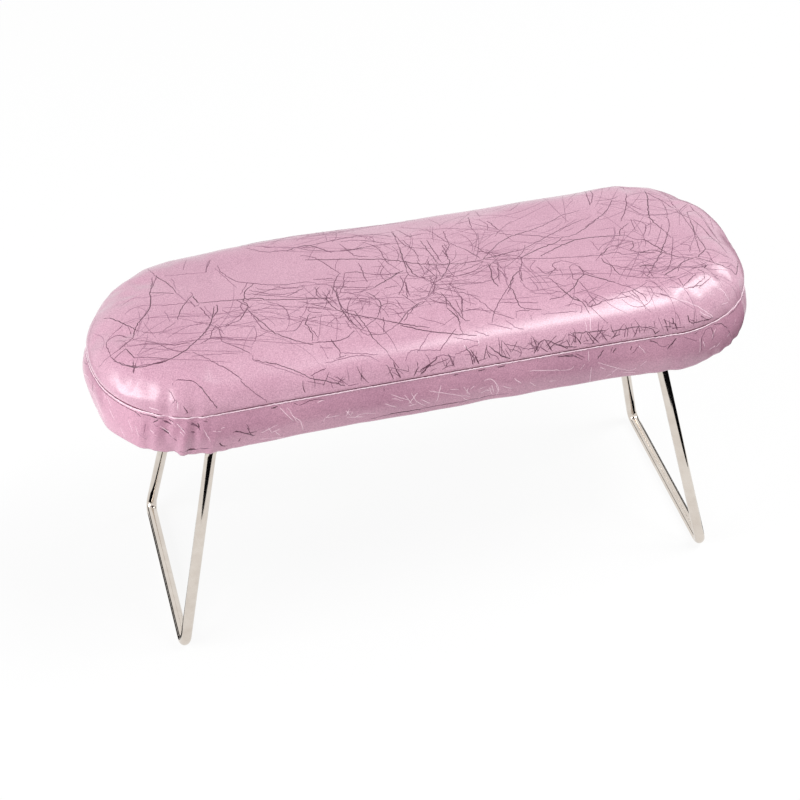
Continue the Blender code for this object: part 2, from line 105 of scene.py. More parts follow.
# The top's veins, as x and y in turn, in millimetres on the flat panel, from its middle.
TOP_VEINS: dict[VeinTone, Veins] = {}
TOP_VEINS[VeinTone.DARK] = (
    (-93, -2, -96.5, -13, -104, -22, -115, -29.5, -126, -30.5, -133, -28, -139, -22, -141, -18),
    (-140, -20, -134, -17), (-137, -16, -130, -12), (-134, -17.5, -131.5, -24),
    (-118, 16.5, -120, 5, -127, -4, -130, -12), (-118, 16.5, -108, 12), (-114, 30.5, -109, 19.5, -107, 12),
    (-141, 9.5, -138, 7, -128, -6.5), (-110, -7, -106, 1.5, -100.5, 8.5), (-100.5, 7.5, -99, 2),
    (-99, 2, -74, -1.5, -69, -4, -42, -10), (-73, 9.5, -78, 4.5, -80, -2), (-80, -2, -79, -6, -84, -14),
    (-79, -9.5, -71, -26, -61, -34, -57, -36), (-83.5, -38.5, -71, -44, -61.5, -51), (-61.5, -51, -47, -57),
    (-108, -46, -102, -57), (-117, -53, -116, -55, -116, -56, -117, -56), (-92, -1, -92, -5, -95, -9.5),
    (-54, -17.5, -57, -22.5, -56, -30, -57, -34), (-49, -35, -46.5, -41),
    (-41, -2, -40, -6, -40, -19, -38, -27, -35, -33), (-19, -32.5, -13, -26.5, -6, -22),
    (-45.5, -9, -40, -20, -18, -32, -6, -37), (-35, -21, -31, -37.5, -29, -41.5), (-28, -51, -26, -58),
    (-25, -50.5, -23, -58), (-27, -10, -25, -12, -23, -19, -26.5, -26.5), (-33, 6, -28.5, 5.5, -24, 3.5),
    (-8, 1, -23, -7.5), (-48, 20, -20, 13, -7, 8, 1, 3.5, 18, -1), (18, -1, 27, -1, 29, 0),
    (-54, 28.5, -49, 30, -43, 29.5, -35, 22), (-31, 23, -26, 22, -21, 22.5), (-5, 19.5, -6, 2),
    (29, 0, 35, 6, 43.5, 12, 60.5, 16.5, 73, 22.5), (29, 0, 33, 0, 43, 1.5),
    (45, -4, 54, 0, 64, 3, 67, 5.5), (67, 5.5, 72, 6, 77, 8, 88, 15.5, 96, 23, 99, 28),
    (54, -5, 64.5, -0.5, 75, 2.5, 95, 0), (42, -12.5, 38.5, -15, 34, -21.5),
    (34, -21.5, 35, -25, 35, -33, 37, -36), (55.5, -28, 59, -35, 62, -37),
    (69, -22, 65, -24.5, 62, -28.5, 55, -33), (69, -22, 80, -30.5), (30.5, -5, 28.5, -14.5, 29.5, -20.5),
    (23, 9, 27.5, 0.5), (5.5, 21, 8.5, 2), (13, 11, 14, 2, 12, -2, 7, -9), (-5, 7.5, -4, -2, -2, -6),
    (4, -18, 9, -35, 12, -37), (4, -28, 7, -34.5, 7, -38), (-18, -33, -9, -38, 5, -43), (7, -49, 10, -55),
    (9, -51, 12, -58), (17.5, -51, 22, -56, 26, -58), (-14, -56, -8, -53.5, -6, -51), (-9, -54, -14, -58),
    (-15, -52, -15, -55, -17, -58), (36.5, -57.5, 40, -53, 42, -52), (42, -52, 45, -58),
    (42, -52.5, 52, -58), (51, -57, 56, -58), (55, -51.5, 58, -57), (61, -52, 64, -58), (62, -52, 66, -58),
    (66.5, -52, 70, -58), (55, -51.5, 69.5, -53), (72, -54, 85, -53.5), (91, -56, 92, -58, 94, -57),
    (97, -52, 98, -58), (100, -52, 102, -58), (108, -52, 108.5, -55, 111, -56), (111, -56, 119, -54.5),
    (115, -53, 118.5, -55, 120, -55), (93, 0, 95, 4.5, 100, 8), (117, 33, 116, 26.5, 111, 10.5, 114, -1.5),
    (116, -1, 106, -17, 95, -30), (102, -5, 109, -17),
    (97, -5, 96, -9.5, 94, -11, 96, -13, 100, -14, 103.5, -13.5, 112, -20, 117, -22, 121, -22.5),
    (121, -22.5, 132.5, -28, 136.5, -29, 139, -31), (80, -11.5, 85, -7),
    (79.5, -13, 80, -17, 82, -19, 83.5, -26), (94, -23, 98, -23, 101, -24.5),
    (119.5, -22.5, 113, -25, 110, -27.5), (110, -27.5, 102.5, -31), (122, -22, 128, -17),
    (126, 12, 134, 1, 139, -18.5), (128, -7, 128, -17), (129.5, 6.5, 129, 1, 127, -6.5),
    (139, -31, 145, -21), (118.5, -30, 120.5, -32, 120, -35.5), (104, -33, 107, -33),
    (59.5, -34, 62, -36.5, 64, -44),
)
TOP_VEINS[VeinTone.MIDDLE] = (
    (-141, -18, -142, -9.5, -141, -6.5, -136, -6, -130, -12), (-141, -20, -134, -27, -125, -30, -117, -30),
    (-149, -17, -137, -16, -130, -12), (-131.5, -24, -118, -29.5), (-132, -25, -134, -30.5),
    (-130, -25, -134, -30.5), (-113, 29.5, -118, 16.5), (-115, 29.5, -118, 16.5), (-116, 39, -114, 30.5),
    (-128, -6.5, -125, -10, -121, -12, -117, -12, -111, -8), (-101, 11, -100.5, 8.5),
    (-102, 4, -101, 0, -99, 1), (-80.5, -1, -72, -3.5), (-99, -1, -96, -10),
    (-120, 7.5, -111, 4.5, -103, 3.5), (-81, -2.5, -82, -6.5, -81, -9), (-84, -14, -91.5, -16.5),
    (-79.5, -7, -76, -21, -71.5, -25), (-70, -5, -64, -10.5, -63, -18.5),
    (-86, 27, -85, 21, -80, 13, -69, 7.5, -62, 5, -50, 4, -46, 1), (-92, 23.5, -88, 32.5),
    (-94, -25.5, -84, -35, -83.5, -38.5), (-107, -29, -91, -45, -90, -48, -81, -58),
    (-119, -43, -117, -41, -111, -43, -107, -47), (-121, -44.5, -120, -49, -122, -50),
    (-119.5, -49, -119, -51), (-130, -13, -116, -21.5, -112.5, -22.5, -104, -22),
    (-128, -18, -124, -18, -120, -20, -115.5, -25, -108.5, -29), (-103, -24.5, -96.5, -22, -89, -25),
    (-94, -16, -96, -16.5, -99, -23), (-94, -16.5, -94, -25.5), (-71, 36.5, -63, 30.5, -50.5, 28.5),
    (-73, 6, -68, 3, -52, 1), (-76, 5, -67, -0.5, -56, -2), (-78.5, 3, -54, -6.5, -42, -9.5),
    (-61, -3.5, -53, 0), (-56.5, -8.5, -44, -17), (-55, -13, -42, -18.5), (-52, -11, -44, -13),
    (-58, -21, -62, -26, -65.5, -26), (-54, -14, -54, -16, -49, -18), (-57, -35, -44, -35.5, -38, -32),
    (-54, -33, -56, -25.5), (-46.5, -41, -47, -44), (-39, -3, -40, -14.5, -38, -22),
    (-35, -33, -34, -35, -30, -36, -26, -36, -19, -32.5), (-6, -22, -3, -22), (-37, -22, -34, -32),
    (-29, -41.5, -23, -53.5), (-26.5, -26.5, -35, -32.5), (-35, 6.5, -38, 2.5, -42, -7.5),
    (-33, 6, -36, -3, -40, -9), (-24, 3.5, -18.5, 0.5, -9.5, -0.5), (-35, 6, -43, 20, -49, 23.5),
    (-23, -7.5, -32, -9, -39, -6.5), (-46, 1, -32, -5, -23, -7), (-47.5, 5, -38, 3), (-36, -5.5, -27, -8),
    (-42, -4, -46, -11), (-46, -0.5, -48, -3.5, -48, -7, -46, -10), (-37, -11.5, -28, -14),
    (-48, 28, -42, 30, -16, 32, -6, 27.5), (-49, 29, -42, 25.5, -29, 22, -13, 22.5, -2.5, 21),
    (-2.5, 21, 0.5, 16.5, 9, 13.5), (-16.5, 23, -14, 18.5, -13, 9, -9, 1), (-20, 26.5, -13, 20),
    (-30, 28, -27, 20, -24.5, 16.5, -20, 15), (-29, 29.5, -20, 28, -8, 22), (-4.5, 33, -5, 19.5),
    (-6, 2, -6, -3, 0, -6.5), (-25.5, 12, -25, -3), (-2, 24, 1, 12.5, 1, 5.5), (-5, 31, -2, 18.5),
    (-2, 34, 2, 24.5), (-61, -50, -54, -48), (-40, -18.5, -34.5, -21), (-40, -2.5, -38, -4, -34.5, -4),
    (-10, -6.5, -9, -9.5, -11, -18.5), (-10, -2.5, -10, -8, -14, -15), (-6, -2, -9, -6.5, -9.5, -17),
    (-19, -9, -13, -9), (-24, -27.5, -26, -35.5), (73, 22.5, 82, 24), (43, 1.5, 49, 2.5, 71, 13, 82, 17),
    (80, 10.5, 89, 16.5), (95, 0, 99, -4.5, 103, -5.5), (66, 3.5, 72, 3),
    (29, -0.5, 33.5, -2.5, 42.5, -3.5), (42.5, -3.5, 55, -7, 80, -11.5), (37, 1, 45, -3.5, 42, -12.5),
    (34, -21.5, 25, -32.5, 21, -40), (38, -16.5, 32, -26), (44, -9, 41, -14.5, 41, -20), (37, -36, 44, -38),
    (50, -20, 53, -21, 55.5, -28), (55, -33, 49, -33.5), (41, -18.5, 52, -18.5, 69, -22),
    (80, -30.5, 89, -38, 91, -43), (32, -4, 33.5, -7, 31, -17), (33, -8.5, 35, -17), (0, 26, 7, 25.5),
    (7.5, 29, 12, 26.5, 17, 16, 23, 9), (27, 6.5, 39, 0), (41, 17, 46.5, 13.5), (48, 14, 66.5, 5.5),
    (8.5, 20.5, 10, 2.5), (14, 15, 14, 5), (7, -9, 4, -11, 1.5, -10.5), (17.5, 25.5, 17, 14),
    (17, 14, 13, 6), (-2, -6, 6, -6), (-1, -5, 1, -8, 4, -6.5), (2, -2, -0.5, -6, 1, -9.5, 4, -8),
    (6, -6, -2, -19), (7.5, 1.5, 7, -7), (28, -2, 19, -5.5, 6, -7), (30, -4.5, 19, -8.5, 6, -9),
    (33, -13, 25, -16, 2, -12), (7, -38, 7, -42, 8, -43.5), (5.5, -22, 4, -27.5), (12, -23.5, 9, -35),
    (9, -24, 9.5, -33), (10, -22, 12, -23, 10.5, -30), (1, -13, 20, -25), (1, -16.5, 4, -19.5, 11.5, -23),
    (5, -43, 13, -45), (5, -40, -4.5, -49), (-16, -31.5, -10, -25, -3, -22), (-3, -22, 4, -25),
    (16, -22, 24, -35.5), (24, -35.5, 31, -40), (27.5, -30, 43.5, -34), (32.5, -36, 39, -37),
    (32, 34.5, 30.5, 24.5), (39, 28, 42, 19), (10, -55, 9, -57.5), (16, -51, 17, -54, 20, -56),
    (-14, -56.5, -1, -53), (34, -55.5, 39, -55.5), (39, -55, 43, -58), (24, -51, 34, -55),
    (30, -53, 31, -56, 30, -58), (52.5, -52, 55, -53, 56, -56), (59, -57, 65, -58), (85, -53.5, 91, -56),
    (85, -53.5, 82, -58), (79, -53, 78, -57.5), (92, -52, 92, -55), (99, -53, 99, -56.5),
    (114, -52, 116, -54), (116.5, -55, 123, -54), (100, -57, 106, -57), (92.5, 50, 88, 26.5),
    (93, 41, 92, 34, 88, 26.5), (91, 29.5, 98.5, 29, 103, 30.5), (107.5, 32, 103, 20, 97, 10.5),
    (104, 22.5, 107, 15, 110, 12.5), (110, 12.5, 120.5, 11.5, 126, 13), (114, -1.5, 115, -7),
    (118, 10, 119, 7, 116, -1), (102, 11, 101, 2, 102, 1), (103, 11, 107, 5, 102, -4),
    (111, 6, 107, 4, 105, 0), (97.5, -14, 104, -16), (85, -7, 97, -5),
    (80, -11.5, 87, -11, 90.5, -13.5, 100, -14), (83.5, -26, 92, -30, 104, -33), (82, -19, 90, -23.5),
    (93, -26, 96, -31), (97, -23, 92.5, -29.5), (113, -25, 109, -30), (128, -17, 131, -18),
    (93.5, -32, 96, -33.5, 99, -39), (116, -6, 108, -24.5, 102, -29.5), (117, 32, 125, 17, 126, 12),
    (126, 25.5, 127, 13), (131.5, 23.5, 135, 19.5, 140, -10), (137.5, 13.5, 140, -6),
    (130, 8, 131, 13, 135, 15), (127, 13, 128, -7), (127, -6.5, 124, -19),
    (135, -28, 138, -26, 140.5, -27.5), (131, -18, 138, -22), (128, -26.5, 128, -18.5),
    (122, -25, 123.5, -28, 116, -29.5), (120, -35.5, 113, -40), (121.5, -32.5, 123, -35, 116, -40),
    (112, -27, 120, -29, 125, -27), (108, -34.5, 109, -40), (109, -38.5, 116.5, -33), (109, -40, 118, -39),
    (65, -26, 68, -40), (65, -39, 70, -36), (65, -41, 73, -39), (64, -37.5, 65, -41, 67, -39.5),
    (64, -15.5, 66, -14.5, 68, -16.5, 68.5, -21, 66, -24, 63, -24, 64, -15.5),
    (67.5, -15.5, 69, -20, 73, -24), (86, -36.5, 88, -41), (50, -12, 52, -17, 57, -16),
    (61, -11, 57, -12, 58, -17), (-83, 0, -78, -7.5), (-59, -18, -56, -20.5, -52, -20),
    (-46, -6, -41, -14.5), (-15, 6.5, -18, 1, -17, -5), (0, 7, 1, -4.5), (2, 1.5, 5, -7.5),
    (9, -13.5, 11, -17, 15, -19), (-1.5, -21, 2, -24.5, 6, -26), (-24, -20.5, -19, -19.5, -16, -23),
    (-12.5, -15, -8, -24),
)
TOP_VEINS[VeinTone.FAINT] = (
    (-107, 24, -106.5, 15), (-107, 12, -103, 3), (-103, 7.5, -101, -0.5), (-87.5, 25.5, -81, 8),
    (-92, 24, -89, 32), (-110, 27, -92, 23.5), (-98, 37.5, -101, 29),
    (-132, 12.5, -129, 15, -125, 16, -121, 14, -112, 13), (-131, 5.5, -128, 8, -124, 8.5, -120, 7.5),
    (-132, 0, -124, 0.5), (-133, -1.5, -140, -5, -142, -8), (-83, -39, -64, -50), (-127, -20, -112, -27),
    (-133, -16.5, -124, -17.5), (-130, -23.5, -125, -18), (-129, -23, -123, -21.5), (-110, -27, -86, -34),
    (-108, -31, -88, -34), (-101, -24, -97.5, -23, -80, -28.5), (-96, -17, -94.5, -14, -93, -16, -93, -19),
    (-100, -20, -99, -16, -94, -12), (-97, -1, -95, -9), (-90, -4, -81, -6), (-90, -5, -87, -11),
    (-91, -11.5, -83, -11), (-93, -15, -78, -20), (-116, -17.5, -108, -13, -99, -12),
    (-119, -14, -113, -12), (-114, 1, -113, -7), (-113, -3.5, -100, -7), (-71, 39, -56.5, 32, -42, 28),
    (-64, 36, -62, 33.5, -58.5, 33.5), (-80, -27, -74, -24), (-71, -25, -65, -26), (-75.5, 11, -80.5, 3),
    (-65, 5, -59, 1.5, -52, 2), (-75, -4, -63.5, -10, -46, -15.5), (-75, -9, -69, -10, -58, -14.5),
    (-54, -36.5, -52, -44), (-34, 46.5, -35, 31), (-27, 50.5, -30, 34.5, -33, 30), (-37, 45.5, -37, 36.5),
    (-18, 28, -16.5, 30, -14.5, 28.5, -15, 25), (-53.5, -45.5, -38, -45, -31, -49),
    (-49, -27, -45.5, -24, -39, -23), (-46, -42, -31, -46), (-49, -39, -54.5, -38),
    (-47, -26, -46, -29, -43, -30.5), (-16, -17, -14.5, -26), (-21, -15.5, -16, -16, -12, -18),
    (-20.5, -22, -18, -25, -16.5, -30), (-7, -11, -5, -14, -2, -12.5),
    (0, 36, 12, 28, 19, 27, 38, 20, 41, 17), (28, -8, 16, -10.5), (6, -11, 19, -13), (-4, -13, 2, -19),
    (-6, -39, -14, -48), (18, -31, 22, -35), (33, -37, 32, -40), (12, -30, 26, -35), (24, -27, 34, -30),
    (42, -27.5, 48, -30, 55, -30), (40, -19.5, 41, -24, 44, -28), (43, -40, 59, -42), (38.5, -40, 38, -42),
    (19, -40, 29, -45), (27, -40, 30, -44, 34, -46), (12.5, -43, 18, -46), (3, -44, 13, -48),
    (59, 41.5, 55, 35.5, 51, 33, 49, 34.5), (36, 30, 38, 25, 37, 20.5), (17, 29.5, 22, 33.5, 33.5, 37),
    (5, 46, 8.5, 41.5), (37, 40, 37, 32.5), (-8, -52, -3, -51, 1.5, -53), (2, -52, 13, -49),
    (-20, -51, -18, -48, -15, -47, -4, -49), (20, -56, 21, -58), (104, 26, 109, 17), (90, -35, 99, -37),
    (97.5, -40, 100.5, -42), (94, -35, 95, -40, 97, -42), (143.5, 21, 142, 2.5),
    (117, -12.5, 121, -14, 119.5, -19), (102, -38, 107, -39), (99, -35, 107, -34), (73, -39, 85, -39),
    (54.5, -38, 59, -38, 62, -40, 60, -43), (61, -10, 69, -15), (84, 7, 92, 6.5), (82, 16, 85, 18),
    (79, 0, 80, -8), (70, 10, 75, 11.5), (68, 10.5, 73.5, 15, 78.5, 17.5), (84, -32, 86, -35),
    (84, -36.5, 86, -40), (89, -38, 92, -40), (70, -39, 67, -36), (53, -17.5, 57, -18),
    (59.5, -15.5, 59, -20.5), (45, -19, 46, -27.5), (51, -7, 47, -12, 48.5, -17), (-40.5, -25.5, -39, -31),
    (-92, -27, -82.5, -32), (-38, -23.5, -33.5, -24, -29, -28), (-16.5, 11.5, -13.5, -2),
    (10, -0.5, 14, -11), (10, -15.5, 12, -24, 17, -29), (-7.5, -16.5, -4, -20, -2, -25.5),
    (-33.5, -16.5, -30, -15.5, -27, -18), (-21, -26.5, -15.5, -26.5, -11, -28.5), (-9.5, -30.5, 1, -37),
)
# The light veins on the front roll are painted highlight: whitish strokes where raised creases catch the
# light.
TOP_VEINS[VeinTone.LIGHT] = (
    (103, -45, 108, -46, 123, -54), (114, -51, 121.5, -54), (126.5, -40, 133, -45), (127, -48, 132, -46),
    (61, -47, 61.5, -52), (64, -46, 63, -52), (6.5, -48, 8.5, -51.5), (13, -47, 13, -50),
    (-119, -50, -120, -53.5), (-133, -48, -129, -51),
)

# The band's veins: millimetres round from the right end's middle, and up.
BAND_VEINS: dict[VeinTone, Veins] = {}
BAND_VEINS[VeinTone.DARK] = (
    (462, 18.5, 465, 18), (464, 18.5, 466, 18.5), (471, 18.5, 475.5, 18.5), (491, 18.5, 491.5, 18),
    (498, 18.5, 498.5, 18.5), (508, 18.5, 510, 18.5), (513, 18.5, 513, 17.5),
    (446, 10.5, 449, 10, 452, 8.5, 456, 8.5), (447, 11, 455, 6.5), (452, 11.5, 454, 6.5),
    (440, 6.5, 441, 4.5, 443, 4), (448, 5, 449, 6.5), (433, 18.5, 436, 17.5), (434, 18.5, 436, 18),
    (516, 18.5, 517, 18.5), (521, 18.5, 522, 18.5), (536, 18.5, 536, 18.5), (543, 18.5, 545, 18.5),
    (554, 18.5, 553, 18.5), (554, 18.5, 557, 18.5), (558, 18.5, 558, 18), (563, 18.5, 566, 18.5),
    (589, 18.5, 594, 18), (591, 18.5, 598.5, 17), (592, 18.5, 597, 18), (529, 1, 531, 1),
    (514.5, 4, 528, 4), (537, 4, 545, 4), (611, 18.5, 608, 14), (617, 18.5, 615, 15.5),
    (623, 15.5, 625, 18.5, 632, 18.5, 635.5, 17), (645, 18.5, 640, 13.5), (664, 18.5, 668, 17, 671.5, 13),
    (411, 18.5, 414, 18.5), (412.5, 16, 415, 18), (416, 18.5, 419, 18.5), (431, 17.5, 432, 15.5),
    (422.5, 3.5, 431, 4.5),
)
BAND_VEINS[VeinTone.MIDDLE] = (
    (465, 18.5, 467, 18.5), (473, 18.5, 474.5, 17.5), (475, 17, 482, 18.5, 486, 17.5),
    (490, 18.5, 489, 18.5), (507, 18.5, 509, 18.5), (452, 13, 453, 10), (433, 18.5, 435, 18.5),
    (429, 18.5, 432.5, 14), (595, 18.5, 601, 15), (598, 18.5, 602, 15.5), (506, 3, 519, 4),
    (528, 4, 537, 4), (545, 4, 560, 3.5), (612, 18.5, 614, 18.5), (612, 17.5, 613, 18.5),
    (615, 18.5, 614, 16), (635.5, 17, 638, 15, 641, 15.5), (624, 14, 627, 17), (655, 18.5, 653, 18),
    (657, 16, 659, 18, 662, 18), (662, 18, 663, 13.5, 662, 11.5), (657, 16, 656, 13, 656.5, 8.5),
    (413, 15, 417, 13.5, 422, 9), (417, 18, 420, 16.5), (419, 18.5, 421, 18), (427.5, 18.5, 432, 15),
)
BAND_VEINS[VeinTone.FAINT] = (
    (512, 18.5, 512, 16.5), (560, 3.5, 567.5, 3.5), (647, 18.5, 654, 14.5), (672, 12, 674.5, 7),
    (424, 15.5, 430, 13), (406, 9, 409, 7), (409.5, 14.5, 408, 9), (431, 4.5, 436, 4.5),
)
# The band's light veins are painted highlight: whitish strokes where raised creases catch the light.
BAND_VEINS[VeinTone.LIGHT] = (
    (532, 13, 550, 6), (537, 14.5, 535, 6.5), (515, 14.5, 523, 10), (515.5, 12.5, 520, 10.5),
    (524, 13.5, 526, 9, 530, 5.5), (522.5, 8.5, 526.5, 13), (521, 13, 524, 8), (528, 9.5, 532, 6.5),
    (522.5, 7, 526, 7.5), (547, 12, 550, 7), (549, 11, 548.5, 8), (550, 10, 552, 11.5),
    (554, 9, 556.5, 9.5), (555, 6.5, 558, 8), (556.5, 13, 559, 13.5, 562, 10.5, 563, 7, 562, 3.5),
    (560, 10, 561, 5.5), (559, 9, 560, 4.5), (557.5, 7, 560, 7.5), (562, 9.5, 563, 5.5),
    (483, 17, 486, 17.5), (485.5, 8.5, 492, 8.5), (485, 6.5, 485.5, 8.5), (488, 10, 486, 8.5),
    (495, 10.5, 497, 7), (496.5, 11, 495, 7.5), (497, 9.5, 495, 9), (495, 6.5, 503, 5), (497, 7.5, 498, 9),
    (499, 5.5, 502, 7, 508, 6), (467, 17.5, 472, 10), (470, 17, 474, 8.5), (472, 12.5, 475, 9, 476, 3.5),
    (458, 7.5, 465, 10), (462.5, 6.5, 466, 7.5), (457, 3.5, 468, 2), (464, 6.5, 466, 3.5),
    (461, 9.5, 462.5, 6), (434, 14.5, 436.5, 8), (431, 18.5, 433, 17.5), (438, 13, 441, 12),
    (441, 13.5, 443, 13.5), (423, 17.5, 427, 12.5), (424, 14, 426.5, 11), (420, 18, 423, 15.5),
    (577, 14, 591, 11.5), (591, 11.5, 595, 11, 597, 12.5), (604, 18.5, 604, 13.5), (605, 10.5, 605, 1),
    (608, 12, 622.5, 5, 626, 6), (609, 9.5, 612, 7.5), (615, 4.5, 612.5, 3), (628, 7, 630.5, 9),
    (620, 4, 626, 3), (618, 7.5, 615, 5), (602, 12.5, 600, 10), (627, 17, 630, 13), (586, 6.5, 589, 6),
    (577, 8, 580, 5), (570, 11.5, 573, 8.5), (655.5, 15, 655.5, 8), (657, 13.5, 658, 10),
    (664, 16, 662, 12.5), (667.5, 9, 665, 6.5), (660.5, 7, 664.5, 7.5), (674, 10.5, 671.5, 8.5),
    (678.5, 14, 676.5, 11.5), (411, 12, 414.5, 10), (404.5, 12, 406, 7.5), (401, 13, 403, 8.5),
    (396, 7.5, 398.5, 3.5), (389.5, 13, 393, 9.5), (387.5, 17.5, 391, 14.5), (383, 18.5, 387, 16.5),
    (416, 15, 421, 10.5), (512, 10.5, 517, 7.5), (541, 12, 545, 11), (547, 6, 550, 3.5, 555, 3.5),
    (565, 8.5, 569, 6.5),
)


def linear(colour: str) -> tuple[float, ...]:
    """Turn an sRGB hex colour into linear red, green and blue, with a full alpha."""
    shares = [int(colour[start:start + 2], 16) / 255 for start in (0, 2, 4)]
    return (*(s / 12.92 if s <= 0.04045 else ((s + 0.055) / 1.055) ** 2.4 for s in shares), 1.0)


def add_node(
    tree: Tree, kind: str, values: dict | None = None, links: dict | None = None,
    stops: tuple[tuple[float, str], ...] = (), **settings: object,
) -> Node:
    """Add a node with its settings, its sockets' values, its links and its colour stops.

    Args:
        tree: the material's or world's nodes.
        kind: the node's type, without its first words, ShaderNode.
        values: constants for input sockets, by name or number.
        links: what feeds input sockets, by name or number: a socket, or a node's first output.
        stops: a colour ramp's positions and colours.
        settings: the node's own properties.

    Returns:
        The new node.
    """
    node = tree.nodes.new(f"ShaderNode{kind}")
    for key, value in settings.items():
        setattr(node, key, value)
    for key, value in (values or {}).items():
        node.inputs[key].default_value = value
    for key, source in (links or {}).items():
        tree.links.new(source.outputs[0] if isinstance(source, Node) else source, node.inputs[key])
    for number, (position, colour) in enumerate(stops):
        node.color_ramp.elements[number].position = position
        node.color_ramp.elements[number].color = linear(colour)
    return node


def new_material(name: str) -> tuple[Material, Tree]:
    """Make an empty material.

    Args:
        name: the material's name.

    Returns:
        The material and its nodes.
    """
    material = bpy.data.materials.new(name)
    material.use_nodes = True
    material.node_tree.nodes.clear()
    return material, material.node_tree


def select_only(obj: Object) -> None:
    """Make one object the only selected and the active one.

    Args:
        obj: the object.
    """
    bpy.ops.object.select_all(action="DESELECT")
    obj.select_set(True)
    bpy.context.view_layer.objects.active = obj


@contextmanager
def editing(obj: Object) -> Iterator[None]:
    """Stay in edit mode for the length of a with block.

    Args:
        obj: the object to edit.

    Returns:
        What the with statement runs on.
    """
    select_only(obj)
    bpy.ops.object.mode_set(mode="EDIT")
    try:
        yield
    finally:
        bpy.ops.object.mode_set(mode="OBJECT")


def added(operator: Callable[..., object], **sizes: object) -> Object:
    """Add a primitive by its operator, with nothing else selected.

    Args:
        operator: the operator that adds it.
        sizes: the operator's settings.

    Returns:
        The new object.
    """
    bpy.ops.object.select_all(action="DESELECT")
    operator(**sizes)
    return bpy.context.view_layer.objects.active


def in_scene(name: str, data: bpy.types.ID) -> Object:
    """Put a new object into the scene.

    Args:
        name: the object's name.
        data: its mesh, curve, lamp or camera.

    Returns:
        The new object.
    """
    obj = bpy.data.objects.new(name, data)
    bpy.context.scene.collection.objects.link(obj)
    return obj


def select_faces(obj: Object, test: Callable[[Vector, Vector], bool]) -> None:
    """Select the faces of the object in edit mode that pass a test, and no others.

    Args:
        obj: the object being edited.
        test: takes a face's centre and normal.
    """
    bpy.ops.mesh.select_mode(type="FACE")
    bpy.ops.mesh.select_all(action="DESELECT")
    shape = bmesh.from_edit_mesh(obj.data)
    for face in shape.faces:
        face.select_set(test(face.calc_center_median(), face.normal))
    bmesh.update_edit_mesh(obj.data)


def extrude_by(step: Vector) -> None:
    """Extrude what is selected in edit mode in a straight line."""
    bpy.ops.mesh.extrude_region_move(TRANSFORM_OT_translate={"value": step, "orient_type": "GLOBAL"})


def modify(obj: Object, kind: str, **settings: object) -> None:
    """Give an object a modifier and apply it.

    Args:
        obj: the object.
        kind: the modifier's type.
        settings: the modifier's own properties.
    """
    modifier = obj.modifiers.new(kind.lower(), kind)
    for key, value in settings.items():
        setattr(modifier, key, value)
    select_only(obj)
    bpy.ops.object.modifier_apply(modifier=modifier.name)


def cut(obj: Object, tool: Object) -> None:
    """Cut a tool's shape out of an object, and take the tool away."""
    modify(obj, "BOOLEAN", operation="DIFFERENCE", solver="EXACT", object=tool)
    bpy.data.objects.remove(tool, do_unlink=True)


def face_outwards(obj: Object, merged: float = 0.0) -> None:
    """Turn the faces of a closed object outwards.

    Args:
        obj: the object.
        merged: points nearer to each other than this are merged first.
    """
    with editing(obj):
        bpy.ops.mesh.select_all(action="SELECT")
        if merged:
            bpy.ops.mesh.remove_doubles(threshold=merged)
        bpy.ops.mesh.normals_make_consistent(inside=False)


def smooth_but_edges(obj: Object) -> None:
    """Shade an object smooth, but for its sharp edges."""
    select_only(obj)
    bpy.ops.object.shade_smooth_by_angle(angle=SHARP)


def skin(shape: bmesh.types.BMesh, rings: list[list[bmesh.types.BMVert]]) -> None:
    """Join each closed ring of points to the next with faces.

    Args:
        shape: the mesh under construction.
        rings: the rings, each with as many points.
    """
    for lower, upper in zip(rings, rings[1:]):
        for index in range(len(lower)):
            after = (index + 1) % len(lower)
            shape.faces.new((lower[index], lower[after], upper[after], upper[index]))


def finish_mesh(shape: bmesh.types.BMesh, mesh: bpy.types.Mesh, axis: int | None = None) -> None:
    """Turn a mesh's faces the right way, write it and free it.

    Args:
        shape: the mesh under construction.
        mesh: where it goes.
        axis: for an open mesh, the axis along which its farthest face looks outwards.
    """
    bmesh.ops.recalc_face_normals(shape, faces=shape.faces)
    if axis is not None:
        shape.normal_update()
        farthest = max(shape.faces, key=lambda face: face.calc_center_median()[axis])
        if farthest.normal[axis] < 0:
            bmesh.ops.reverse_faces(shape, faces=shape.faces)
    shape.to_mesh(mesh)
    shape.free()


def surface_of(obj: Object) -> BVHTree:
    """Return an object's surface as it is now, to be searched for near points."""
    places = [vert.co.copy() for vert in obj.data.vertices]
    return BVHTree.FromPolygons(places, [tuple(face.vertices) for face in obj.data.polygons])


def settle(obj: Object, name: str) -> Object:
    """Name an object and put its place into its mesh.

    Args:
        obj: the object.
        name: its new name.

    Returns:
        The same object.
    """
    select_only(obj)
    bpy.ops.object.transform_apply(location=True, rotation=True, scale=True)
    obj.name = obj.data.name = name
    return obj


def dress(
    obj: Object, material: Material, stands_for: str | None = None,
) -> None:
    """Give a piece its only material, and let it ride on the body.

    Args:
        obj: the piece.
        material: its finish.
        stands_for: the CAD node that it replaces, if any.
    """
    obj.data.materials.clear()
    obj.data.materials.append(material)
    if "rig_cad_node" not in obj:
        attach(obj, BODY)
    if stands_for:
        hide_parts(stands_for)
    LOG.info("piece %s: %d faces", obj.name, len(obj.data.polygons))


def ease(value: float, start: float, end: float) -> float:
    """Return a smooth step from 0 at start to 1 at end."""
    share = min(max((value - start) / (end - start), 0.0), 1.0)
    return share * share * (3 - 2 * share)


